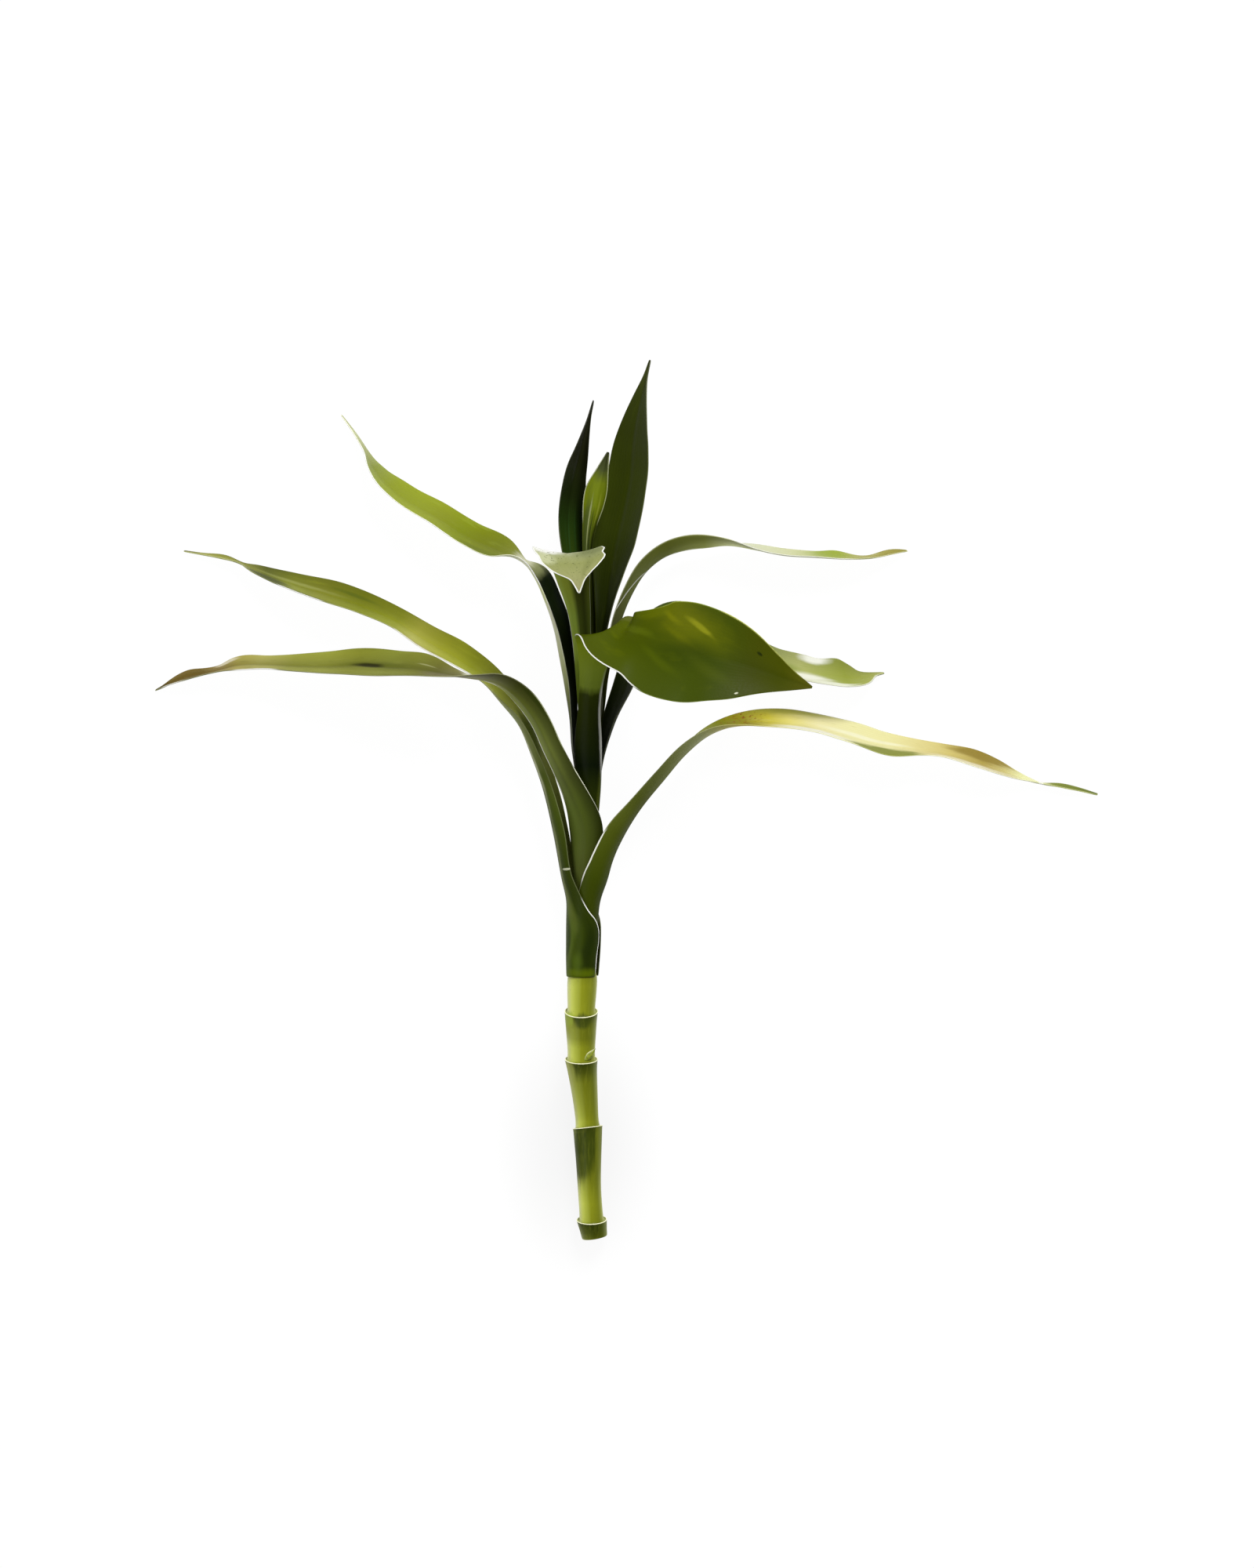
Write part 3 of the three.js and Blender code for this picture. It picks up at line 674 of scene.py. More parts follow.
left_outer_look = {
    "upper": [
        (84, "#8e9660"), (96, "#a4aa6c"), (106, "#b0b654"), (120, "#a2a832"), (132, "#adb03e"),
        (143, "#bcbc60"), (151, "#9ca234"), (165, "#8b9224"), (180, "#92963a"), (192, "#949a44"),
        (202, "#7a8048"), (210, "#a9ab72"), (220, "#bcbe80"), (226, "#d0d0a0"), (233, "#55523a"),
    ],
    "lower": [
        (0, "#2b3606"), (8, "#303b08"), (24, "#333e0a"), (44, "#3f4b12"), (58, "#49561c"), (72, "#525d26"),
        (86, "#7c8452"), (97, "#90986a"), (108, "#a4a870"),
    ],
    "across_upper": [
        (-1, "#ffffff"), (-0.45, "#fdfdfd"), (0, "#e6e6b8"), (0.45, "#cdcd90"), (1, "#bcbc90"),
    ],
    "across_lower": [
        (-1, "#e0e0cc"), (-0.45, "#f4f4e8"), (0, "#f0f0e4"), (0.45, "#c4c4b0"), (1, "#fafaea"),
    ],
    "blotches": [(0.4, 1.4, 3.1, "#a0a830", 0.25), (0.3, 3.0, 8.2, "#667020", 0.25)],
    "blade_from": 95,
    "light_lower": 0.85,
    "strokes": [
        (12, -0.45, 12, 0.2, 0.7, "#3b480c", 0.8), (26, -0.4, 8, 0.15, 0.6, "#58632a", 0.9),
        (7, -0.15, 4, 0.12, 0.9, "#5c6e1e", 0.6), (12, -0.25, 16, 0.14, 0.8, "#5e6e2c", 0.8),
        (12, -0.74, 7, 0.12, 0.7, "#232c04", 0.8), (5, -0.52, 4, 0.1, 0.8, "#4e601c", 0.7),
        (1, -0.5, 2, 0.6, 0.6, "#5c6c14", 0.7), (44, -0.35, 16, 0.14, 0.6, "#6c7440", 0.9),
        (78, -0.4, 14, 0.14, 0.6, "#a8ad84", 0.9), (30, 0, 16, 0.05, 0.5, "#9a9f80", 0.8),
        (62, 0, 16, 0.05, 0.5, "#c0c2ac", 0.8), (14, -0.25, 8, 0.08, 0.6, "#242f06", 0.7),
        (39, -0.8, 0.4, 0.25, 0.3, "#d0d2b4", 0.8), (88, 0.5, 9, 0.3, 0.4, "#3c450e", 0.9),
        (140, -0.95, 9, 0.12, 0.5, "#a9987c", 0.7), (168, 0.55, 8, 0.1, 0.6, "#58641a", 0.7),
        (190, 0.2, 14, 0.1, 0.7, "#aeb26a", 0.4), (190, -0.9, 15, 0.14, 0.5, "#5f6538", 0.7),
        (200, -0.6, 8, 0.5, 0.5, "#545a2c", 0.95),
    ],
    "edges": [
        (-1, 2, 27, 0.55, "#f8fae0", 1.0), (-1, 118, 150, 0.8, "#ecebd8", 0.8),
        (-1, 178, 194, 0.5, "#f2f2e6", 0.8),
    ],
    "margin_strength": 0.1,
    "nicks": [(211, 1, -0.7, 0, 2), (150, -1, 0.4, 0, 5), (168, -1, -0.3, 0, 5), (128, 1, 0.3, 0, 6)],
}
grow_leaf("outer_left_leaf", "leaf_left_outer", left_outer, left_outer_look, 1.0, 20)

# %% [markdown]
# The lower left leaf has the broadest stalk. It crosses in front of the stem,
# turns half over at its narrowest and runs out flat to the left, where it
# dries to brown.

# %% The lower leaf on the left
left_lower = leaf_stations(
    sheaths=[
        (-50.2, -20, 3.5, 150), (-43, -20, 3.5, 140), (-36.7, -18, 3.5, 126), (-28.3, -10, 4.1, 108, -0.3),
        (-22.7, -5, 5, 90), (-11.5, -2, 6.0, 78, 0, 0.3),
    ],
    blades=[
        (-18.1, 0.3, 23.6, 5.6, 58, -165), (-21.3, 6.7, 24.8, 4.9, 50, -155),
        (-26.7, 17.2, 26, 4.7, 44, -146), (-31.6, 27.4, 27, 5.2, 42, -137),
        (-37, 34.6, 27.6, 6.4, 36, -126), (-45.6, 41, 27.8, 7, 26, -108), (-54.6, 42.8, 29, 7.4, 14, -92),
        (-62.7, 43.8, 28.6, 8.6, 16, -78), (-73.4, 46, 26, 9.6, 20, -62), (-83.7, 46.6, 21, 10, 20, -60),
        (-94.9, 47.4, 15.5, 10.1, 20, -60), (-106.1, 47.2, 12.5, 9, 20, -62),
        (-117.3, 47.4, 10, 8, 20, -65), (-128.5, 48, 7.6, 6.4, 18, -67), (-139.7, 47.7, 5.8, 5.4, 18, -64),
        (-145.5, 46, 5, 4.4, 16, -75), (-151, 44.9, 4.4, 4, 16, -70), (-156.5, 43.9, 3.8, 3.9, 16, -60),
        (-162, 42, 2.6, 2.5, 14, -58), (-166, 40.2, 1.6, 0.8, 12, -58), (-168.9, 39, 1, 0.35, 8, -58),
    ],
)
# Its across ramps are painted shade, and its white lines along the crest and the right margin are painted
# highlights.
left_lower_look = {
    "upper": [
        (104, "#9c965e"), (114, "#8e8956"), (124, "#7c7c3a"), (134, "#8e9240"), (144, "#989e48"),
        (156, "#989c3e"), (168, "#a8ac4e"), (180, "#a8aa50"), (192, "#c0ba70"), (200, "#baae60"),
        (206, "#a8925a"), (214, "#7e6a32"), (224, "#8a7440"), (231, "#5c4a2a"),
    ],
    "lower": [
        (0, "#38440e"), (12, "#414d14"), (24, "#5a6330"), (36, "#55612a"), (48, "#5a672c"), (60, "#646e38"),
        (72, "#7c8744"), (84, "#78833c"), (96, "#7c8438"), (106, "#a8aa70"), (116, "#c9cb98"),
    ],
    "across_upper": [(-1, "#eaeada"), (-0.5, "#f4f4e8"), (0, "#c4c4a8"), (0.5, "#e0e0cc"), (1, "#f4f4e4")],
    "across_lower": [
        (-1, "#6c6c54"), (-0.45, "#a0a08c"), (0, "#d0d0bc"), (0.45, "#ffffff"), (1, "#ffffff"),
    ],
    "blotches": [(0.4, 1.6, 5.7, "#a9ad58", 0.2), (0.35, 2.6, 1.9, "#666a24", 0.3)],
    "blade_from": 106,
    "light_lower": 0.85,
    "strokes": [
        (12, -0.5, 9, 0.15, 0.6, "#262c08", 0.7), (60, 0.95, 9, 0.1, 0.5, "#b9bf9a", 0.7),
        (89, -0.8, 6, 0.12, 0.5, "#333c14", 0.7), (82, 0.84, 27, 0.07, 0.3, "#eef0dc", 0.95),
        (108, 0.7, 6, 0.4, 0.5, "#f4f4e4", 0.9), (119, -0.5, 9, 0.5, 0.4, "#7c7652", 0.8),
        (129, 0.35, 3, 0.04, 0.6, "#c8c890", 0.4), (146, 0.1, 13, 0.16, 0.7, "#626826", 0.7),
        (151, 0.05, 6, 0.12, 0.5, "#2b2a10", 0.92), (204, 0.8, 4, 0.2, 0.4, "#e3dcc0", 0.8),
        (217, -0.2, 8, 0.5, 0.6, "#74602a", 0.7),
    ],
    "edges": [
        (-1, 16, 62, 0.5, "#dcdec8", 0.9), (-1, 70, 90, 0.4, "#b9bf98", 0.6),
        (1, 54, 66, 0.6, "#cfd4b4", 0.8), (-1, 184, 200, 0.6, "#f4f2e2", 0.8),
        (-1, 220, 228, 0.5, "#f0ecdc", 0.7),
    ],
    "nicks": [(204, 1, 0.6, 0, 2.5), (160, 1, 0.3, 0, 6), (176, -1, 0.3, 0, 5)],
}
grow_leaf("lower_left_leaf", "leaf_left_lower", left_lower, left_lower_look, 2.0, 18)

# %% [markdown]
# The upper left leaf shows its stalk on edge, a thin pale strip whose
# paleness and white line are painted light, beside the inner face of its
# channel, painted near black as shade. Its blade is the freshest green of the
# left side and ends in a bleached, twisted thread.

# %% The upper leaf on the left
left_upper = leaf_stations(
    sheaths=[
        (0, -112, 3.7, 44), (8, -113, 4, 42, -0.4), (19, -112, 4.6, 44, -1.6), (28, -110, 4.6, 46, -2.4),
    ],
    blades=[
        (-21.3, 39, 17.2, 6, 56, -74), (-23.2, 50.5, 17.4, 7, 64, -68), (-24.9, 60.5, 16.9, 6.9, 64, -62),
        (-28.3, 71, 16.6, 6.6, 56, -62), (-32.2, 79.5, 17.2, 7.3, 40, -68), (-36.6, 84.2, 17.2, 8, 16, -86),
        (-44.8, 88, 15, 9.6, 18, -62), (-56.4, 93.2, 12.5, 10, 20, -60), (-67.7, 100.4, 10.6, 9.5, 20, -61),
        (-79, 107, 8.8, 8.8, 20, -61), (-85.8, 112.6, 7.4, 7.8, 18, -62), (-90.2, 118, 5.6, 5.6, 16, -66),
        (-93.2, 124, 3.8, 3, 14, -74), (-97.2, 131, 2.4, 1.3, 12, -66), (-101.9, 137.8, 1.2, 0.35, 8, -60),
    ],
)
left_upper_look = {
    "upper": [
        (0, "#141c06"), (79, "#161e06"), (82, "#8f946c"), (87, "#a4a878"), (91, "#92983c"), (99, "#828b28"),
        (106, "#858f1c"), (114, "#8f9c20"), (122, "#9aa430"), (132, "#a2ae36"), (144, "#a2ae3a"),
        (154, "#a0ab58"), (161, "#c4c99c"), (168, "#dfe4c4"), (176, "#c9cca0"),
    ],
    "lower": [
        (0, "#161c08"), (24, "#2a3210"), (36, "#5a6038"), (48, "#8d916c"), (60, "#a4a68e"), (74, "#b4b5a2"),
    ],
    "across_upper": [
        (-1, "#ffffff"), (-0.45, "#f6f6f6"), (0, "#e6e6d2"), (0.45, "#eaead6"), (1, "#f6f6ec"),
    ],
    "blotches": [(0.4, 1.8, 2.4, "#a8b848", 0.3), (0.3, 3.0, 6.4, "#778828", 0.25)],
    "blade_from": 90,
    "light_lower": 0.5,
    "strokes": [
        (56, 0.9, 24, 0.25, 0.3, "#131c05", 0.95), (52, 0.05, 9, 0.12, 0.5, "#c6c8b6", 0.7),
        (77, -0.6, 8, 0.5, 0.3, "#a4a87c", 0.95), (89, 0.55, 4, 0.5, 0.5, "#d4d4b4", 0.9),
        (66, -0.45, 15, 0.14, 0.3, "#f6f6f0", 0.95), (100, -0.75, 11, 0.3, 0.5, "#6f7a1c", 0.7),
    ],
    "edges": [
        (-1, 78, 88, 0.7, "#f7f7ee", 0.9), (-1, 114, 126, 0.8, "#ecefda", 0.9),
        (-1, 140, 162, 0.8, "#e9ecd6", 0.8),
    ],
    "nicks": [(154, 1, 0.5, 0, 2), (126, 1, 0.4, 0, 6), (104, -1, 0.3, 0, 5)],
    "sway": 2.0,
}
grow_leaf("upper_left_leaf", "leaf_left_upper", left_upper, left_upper_look, 3.0)

# %% [markdown]
# The lower right leaf is going over: green at its stalk, then yellow with rust
# coloured specks, cream along the lower margin and brown before its tip.

# %% The lower leaf on the right
right_lower = leaf_stations(
    sheaths=[
        (-57.2, 80, 4.6, 150), (-45, 80, 4.6, 136, 0.1), (-36.7, 78, 4.85, 118, 0.35),
        (-28.3, 76, 6.1, 102, 1.7, 0.2), (-22.7, 78, 6.3, 90, 2.8, 0.5), (-11.5, 88, 5.9, 92, 7.9),
    ],
    blades=[
        (4.4, -4, 15.2, 7, 72, 100), (13.4, 7.2, 15.2, 6.3, 60, 100), (21.5, 16.6, 14.4, 6.6, 50, 95),
        (29.5, 23, 12.8, 7.4, 36, 86), (38, 26.2, 10.8, 8.2, 26, 76), (47, 27.4, 9.4, 8.9, 22, 69),
        (56.3, 27.3, 8.7, 9.1, 22, 67), (67.5, 25.6, 8.5, 9, 22, 67), (78.7, 22.6, 8.5, 9.4, 22, 66),
        (89.9, 19.5, 8.2, 9, 22, 66), (101.1, 17.9, 7.2, 7.6, 20, 66), (112.3, 16.5, 6.4, 6.6, 20, 68),
        (123.5, 13.7, 6.6, 7.2, 20, 64), (134.7, 10, 4.8, 5.3, 18, 64), (141.5, 7.6, 3, 2.8, 14, 66),
        (147.5, 5.9, 2.1, 1.4, 12, 72), (156.5, 4.5, 1.8, 1.7, 14, 56), (163, 3.2, 1.5, 1.1, 12, 56),
        (169, 1.8, 1.1, 0.35, 8, 56),
    ],
)
# The edge line near its base is a painted highlight.
right_lower_look = {
    "upper": [
        (84, "#989d60"), (92, "#9a9e58"), (100, "#7e8008"), (108, "#968c08"), (116, "#cbbf3c"),
        (124, "#e6db7c"), (134, "#f0e8b0"), (146, "#efeab0"), (160, "#ece6a8"), (172, "#e0d490"),
        (182, "#d2c274"), (194, "#b6a254"), (203, "#d2c680"), (210, "#f0f0b4"), (217, "#f0f0c4"),
        (221, "#868f44"), (230, "#7c863c"), (237, "#6f7a40"),
    ],
    "lower": [
        (0, "#36400c"), (15, "#333c0a"), (30, "#3a4412"), (45, "#454d1a"), (60, "#565e26"), (75, "#7c834a"),
        (90, "#969c68"), (104, "#a89c34"), (130, "#efe8b4"), (206, "#f0ecc4"), (222, "#98a058"),
    ],
    "blotches": [(0.4, 1.5, 4.6, "#ecebb0", 0.2), (0.3, 2.6, 9.1, "#a9a03c", 0.25)],
    "blade_from": 112,
    "light_lower": 0.75,
    "strokes": [
        (122, -0.95, 14, 0.25, 0.5, "#c4c24e", 0.7), (132, 0.65, 14, 0.3, 0.5, "#f8f7ea", 0.9),
        (150, -0.2, 14, 0.12, 0.6, "#f8f6d8", 0.7), (159, 0.8, 13, 0.45, 0.3, "#858c34", 0.95),
        (194, -0.7, 12, 0.45, 0.4, "#927e34", 0.85), (190, 0.7, 14, 0.3, 0.6, "#ece6c8", 0.85),
        (217, 0, 1.2, 1.2, 0.4, "#fbfbf0", 0.9),
    ],
    "edges": [(1, 26, 44, 0.7, "#e6e6cf", 0.9), (-1, 126, 160, 0.9, "#e9e8bc", 0.6)],
    "specks": [(107, -0.5, 7, 0.7, 0.55, "#8a5a14")],
    "nicks": [
        (217, 1, -0.5, 0, 2), (217, -1, -0.5, 0, 2), (150, -1, 0.4, 0, 6), (160, 1, 0.4, -1.6, 8),
        (184, 1, -0.5, 0, 6),
    ],
    "glow_tint": "#e0dfa0",
    "sway": 2.0,
}
grow_leaf("lower_right_leaf", "leaf_right_lower", right_lower, right_lower_look, 4.0, 18)

# %% [markdown]
# The middle right leaf is painted dark where it leaves the stem, a painted
# shade, passes behind the large front leaf and comes out pale, with white
# blotches and a blunt tip.

# %% The middle leaf on the right
right_middle = leaf_stations(
    sheaths=[(4, 116, 3.6, 42), (16.5, 118, 4, 44, 1.6)],
    blades=[
        (-4.6, 27.7, 15, 5.6, 44, 64), (-0.1, 38.9, 14.2, 6.6, 36, 56), (4, 50.3, 13.6, 7.4, 28, 56),
        (9.4, 60.6, 13.2, 8, 22, 58), (16.5, 65.2, 12.8, 8.4, 20, 58), (26, 63, 12.2, 8.6, 20, 57),
        (35.5, 57.8, 11.2, 8.7, 20, 56), (44.5, 52, 10, 8.8, 20, 56), (53, 47.8, 9.2, 8.8, 20, 56),
        (61.5, 45.8, 8.6, 8.7, 20, 56), (70.6, 44.2, 7.8, 8.4, 20, 56), (79, 43, 6.2, 7.2, 18, 57),
        (84.6, 43.1, 4.6, 5.4, 16, 58), (88, 44.4, 2.8, 1.9, 12, 60), (92.4, 45.4, 1.6, 0.35, 8, 60),
    ],
)
right_middle_look = {
    "upper": [
        (0, "#1c220c"), (40, "#242b12"), (60, "#4a5a1c"), (85, "#76853a"), (105, "#a9b270"),
        (118, "#c6ca84"), (128, "#b2bb64"), (136, "#a4ae4c"), (146, "#b0b664"), (151, "#c4c88c"),
    ],
    "lower": [
        (0, "#1a200a"), (20, "#1e240e"), (32, "#222a10"), (50, "#333e16"), (100, "#5c6a2c"),
        (151, "#7a8648"),
    ],
    "across_upper": [(-1, "#d0d0c8"), (0, "#f0f0e4"), (1, "#ffffff")],
    "blotches": [(0.35, 1.4, 7.7, "#dde0b4", 0.3), (0.3, 3.2, 3.3, "#8a9a3c", 0.3)],
    "blade_from": 96,
    "strokes": [
        (112, 0, 6, 0.3, 0.6, "#7f9236", 0.6), (124, -0.85, 5, 0.22, 0.6, "#fafaf2", 0.9),
        (121, 0.5, 8, 0.35, 0.6, "#f8f8ec", 0.9), (131, 0.8, 7, 0.2, 0.5, "#f4f6e4", 0.9),
    ],
    "edges": [(1, 100, 148, 0.6, "#f2f3e2", 0.8)],
    "nicks": [(125, -1, -0.6, 0, 3), (134, -1, 2.2, 0, 5)],
}
grow_leaf("middle_right_leaf", "leaf_right_middle", right_middle, right_middle_look, 5.0)

# %% [markdown]
# The upper right leaf arches over thinly and stands on its edge, so most of it
# is seen as a pale line that ends in tan.

# %% The upper leaf on the right
right_upper = leaf_stations(
    sheaths=[(20, 98, 3, 44), (32, 99, 3.4, 44, 1.2)],
    blades=[
        (-6.6, 44.5, 18.8, 4.6, 50, 92), (-4.4, 54.5, 18.8, 5, 50, 96), (-2.1, 63.5, 18.2, 5.3, 48, 100),
        (1.5, 72.4, 17, 5.6, 46, 103), (7.4, 81.6, 15.2, 6.6, 44, 105), (14, 86.8, 13.4, 7.2, 42, 106),
        (22.2, 89.4, 11.8, 7.7, 38, 106), (29.6, 90.1, 10.8, 7.5, 30, 103), (36.7, 90.6, 10.2, 7.5, 16, 92),
        (45, 89.3, 9.4, 7.5, 14, 82), (56, 87.2, 8.8, 7.5, 14, 79), (67.5, 86.4, 8.4, 7.4, 14, 80),
        (78.7, 85.9, 7.4, 6.4, 14, 80), (88, 86.3, 5.4, 4.2, 12, 80), (95.5, 88.3, 3.2, 2.3, 12, 66),
        (100.8, 89, 1.6, 0.35, 8, 60),
    ],
)
# Its thin pale lines and its edge line are painted highlights.
right_upper_look = {
    "upper": [
        (94, "#c9cba0"), (105, "#dde0c0"), (120, "#d4d7a8"), (130, "#bcc27c"), (136, "#acb45a"),
        (146, "#b4b06c"), (152, "#aca65a"), (161, "#989048"),
    ],
    "lower": [
        (0, "#262a10"), (15, "#343818"), (30, "#3c4020"), (45, "#4c4f30"), (60, "#62683c"), (74, "#6a7030"),
        (88, "#8c924c"), (98, "#bcc08c"),
    ],
    "across_lower": [(-1, "#e8e8e0"), (-0.3, "#ffffff"), (0.3, "#f0f0ea"), (0.85, "#c0c0b8")],
    "blotches": [(0.35, 2.0, 5.1, "#e6e8c0", 0.25)],
    "blade_from": 98,
    "strokes": [
        (51, 0.75, 5, 0.03, 0.3, "#dcdcc8", 0.6, -0.05), (60, 0.28, 7, 0.04, 0.4, "#e4e4d4", 0.7, -0.06),
        (72, -0.25, 7, 0.05, 0.4, "#e4e4d0", 0.8, -0.03), (86, -0.5, 8, 0.12, 0.6, "#dcdcbc", 0.8),
        (134, -0.6, 7, 0.5, 0.6, "#9aac3c", 0.8), (156, 0.3, 7, 0.7, 0.6, "#a0984a", 0.8),
    ],
    "edges": [(1, 98, 140, 0.5, "#f6f6ee", 0.6)],
    "nicks": [(118, 1, 0.3, 0, 5), (136, -1, 0, 1.2, 5), (148, -1, -0.3, 0, 4)],
    "light_lower": 0.6,
}
grow_leaf("upper_right_leaf", "leaf_right_upper", right_upper, right_upper_look, 6.0)

# %% [markdown]
# The large front leaf is the eye-catcher: a broad blade, warm green, with
# yellow patches near its upper margin and a fine pale line along the lower,
# a painted highlight. Its stalk is painted near black up to a sharp edge, a
# painted shadow.

# %% The large leaf in front
front_large = leaf_stations(
    sheaths=[(-10, 5, 3.8, 75), (5.3, 3, 4.9, 66)],
    blades=[(-13.4, 19.3, 22.9, 5.8, 60, 178)],
    facings=[
        (-13, 33.3, 24.6, 4.5, 52, (0, 0, -1)), (-12, 44.5, 27, 5.2, 46, (0, 0.1, -1)),
        (-10.6, 53, 30, 7.4, 40, (-0.1, 0.5, -0.85)), (-8.5, 59, 35.5, 10.2, 22, (-0.45, 0.88, -0.1)),
        (-3.5, 55.4, 40, 12.2, 24, (-0.37, 0.73, 0.54)), (4, 54.3, 45, 13.7, 22, (-0.19, 0.31, 0.92)),
        (12.5, 51.8, 49, 17.4, 20, (-0.15, 0.2, 0.95)), (22, 50.8, 52, 18.2, 18, (-0.08, 0.15, 0.97)),
        (31, 49.5, 54, 16.3, 17, (0, 0.15, 1)), (40.5, 47.1, 54.6, 12.8, 16, (0, 0.15, 1)),
        (49.5, 44.2, 53.6, 7.9, 15, (0, 0.15, 1)), (57.5, 41.4, 51.2, 3.8, 14, (0, 0.15, 1)),
        (65.2, 39.1, 48, 0.35, 10, (0, 0.15, 1)),
    ],
)
front_large_look = {
    "upper": [
        (60, "#5d6a08"), (77, "#5b660a"), (88, "#576308"), (99, "#525f06"), (110, "#505e06"),
        (121, "#4d5a05"), (132, "#4f5606"), (143, "#545a0a"), (153, "#646420"),
    ],
    "lower": [
        (0, "#1e230a"), (11, "#252b0c"), (22, "#181c07"), (34, "#212609"), (47, "#2e3510"), (50, "#66742a"),
        (56, "#6c7a2a"), (64, "#6e7c1e"), (70, "#626f12"),
    ],
    "across_upper": [(-1, "#ffffff"), (-0.5, "#f8f8e0"), (0, "#dfe4c0"), (0.45, "#e4e8c8"), (1, "#e0e4c0")],
    "blotches": [(0.35, 1.3, 2.2, "#6f7a0e", 0.3), (0.3, 2.0, 5.5, "#465406", 0.25)],
    "blade_from": 66,
    "strokes": [
        (11, -0.85, 8, 0.25, 0.6, "#434b1c", 0.8), (11, 0.85, 8, 0.2, 0.6, "#3c441a", 0.7),
        (36, -0.95, 16, 0.2, 0.5, "#d8dac0", 0.95), (74, -0.9, 6, 0.12, 0.5, "#74783a", 0.6),
        (86, -0.45, 7, 0.1, 0.6, "#65731a", 0.7, 0.02), (97, -0.88, 10, 0.14, 0.6, "#6f7a0a", 0.8),
        (106, -0.65, 12, 0.38, 0.9, "#767c0e", 0.85, 0.02),
        (112, -0.54, 4, 0.06, 0.6, "#a2a426", 0.8, 0.03), (100, -0.72, 4, 0.06, 0.7, "#8a8e18", 0.6, 0.03),
        (104, -0.35, 5, 0.06, 0.9, "#787e12", 0.5, 0.03), (110, 0, 8, 0.22, 0.9, "#3a4802", 0.6),
        (117, 0.3, 8, 0.12, 0.9, "#55611a", 0.5, 0.03), (98, 0.2, 6, 0.08, 0.9, "#5a6812", 0.5, 0.03),
        (129, 0.85, 0.6, 0.025, 0.3, "#e9ead0", 0.9), (133, -0.5, 1.0, 0.05, 0.4, "#2a3204", 0.9),
    ],
    "edges": [(1, 70, 96, 0.55, "#fbfbf2", 0.95), (-1, 118, 150, 0.5, "#b9bb60", 0.5)],
    "margin_strength": 0.05,
    "shine": 0.06,
    "groove": 0.08,
    "ripple": 1.6,
    "nicks": [(71, -1, 0.5, 0, 6), (88, -1, -1.2, 0, 5), (126, 1, 0.4, 0, 6)],
    "veins": 26.0,
    "vein_strength": 0.0,
    "glow_tint": "#7a9a08",
    "light_lower": 0.6,
}
grow_leaf("large_front_leaf", "leaf_front_large", front_large, front_large_look, 7.0, 22)

# %% [markdown]
# The front leaf that folds over shows both faces at once: the olive outer side
# of its stalk, painted light on one side and painted shade on the other, and
# the pale inner side of the tip that hangs towards us, its paleness partly its
# own colour and partly painted light.

# %% The leaf that folds over in front
front_flap = leaf_stations(
    sheaths=[(10, -14, 3.3, 44), (20, -16, 3.8, 43)],
    facings=[
        (-14.2, 40, 22.8, 4.2, 52, (0.1, 0, -1)), (-15.3, 50, 24, 3.8, 52, (0.1, 0, -1)),
        (-16.1, 58.5, 25.4, 3.9, 48, (0.1, 0, -1)), (-16.9, 66.5, 27.8, 4.6, 42, (0.1, 0.2, -1)),
        (-18.3, 75, 31.5, 6, 34, (0, 0.3, -1)), (-19.6, 82, 37.2, 8, 28, (0, 0.8, -0.7)),
        (-20.6, 86, 44.5, 12.2, 24, (0, 1, 0)), (-20.1, 84.8, 52.5, 12.4, 20, (0, 1, 0.3)),
        (-18.6, 81.2, 60, 9.4, 18, (0, 1, 0.5)), (-17.6, 78, 65.4, 7.4, 16, (0, 1, 0.5)),
        (-17, 75.9, 67.6, 3.2, 14, (0, 1, 0.5)), (-16.6, 73.8, 69.2, 1.6, 12, (0, 1, 0.5)),
        (-16.3, 71.4, 70.6, 0.35, 10, (0, 1, 0.5)),
    ],
)
front_flap_look = {
    "upper": [
        (82, "#c9ccae"), (88, "#c0c49c"), (94, "#a6ab74"), (100, "#999e5e"), (106, "#a0a368"),
        (111, "#a4a470"), (115, "#a8a478"),
    ],
    "lower": [
        (0, "#2a3210"), (30, "#4e5c1e"), (44, "#5e6b28"), (55, "#687832"), (66, "#727c30"), (78, "#727a2c"),
        (84, "#8c9454"),
    ],
    "across_lower": [(-1, "#80806c"), (-0.45, "#505040"), (0, "#74745e"), (0.3, "#f4f4e8"), (1, "#ffffff")],
    "blotches": [(0.4, 3.0, 1.4, "#868b4c", 0.4)],
    "blade_from": 86,
    "light_lower": 0.52,
    "row_length": 1.0,
    "strokes": [
        (56, 0.85, 20, 0.2, 0.6, "#76843e", 0.6), (82.5, 0, 1.2, 1.4, 0.4, "#ffffff", 0.95),
        (87, 0.7, 4.5, 0.5, 0.5, "#fbfbf6", 0.95), (96, 0.8, 5, 0.3, 0.5, "#d0d4a8", 0.8),
        (91, -0.65, 6, 0.45, 0.6, "#858c5c", 0.9), (104, -0.5, 6, 0.15, 0.6, "#868b50", 0.6),
    ],
    "edges": [
        (1, 40, 82, 0.45, "#dfe2c8", 0.8), (-1, 84, 117, 0.5, "#f6f6ea", 0.95),
        (1, 84, 117, 0.5, "#f6f6ea", 0.95),
    ],
    "specks": [(98, 0, 14, 1.2, 0.4, "#6f7442")],
    "nicks": [
        (94, 1, -0.6, 0, 2), (101, 1, 1.8, 0, 3.5), (109, 1, -0.8, 0, 2), (92, -1, 0.8, 0, 3),
        (99.5, -1, 2.4, 0, 3), (106.5, -1, -1.8, 0, 2.6),
    ],
}
grow_leaf("folded_front_leaf", "leaf_front_flap", front_flap, front_flap_look, 8.0, 16)

# %% [markdown]
# Three leaves stand at the top. The tall one and its neighbour are so dark
# that only their gloss shows their form. The young one between them is still
# rolled along one side and shows a bright face on the other.

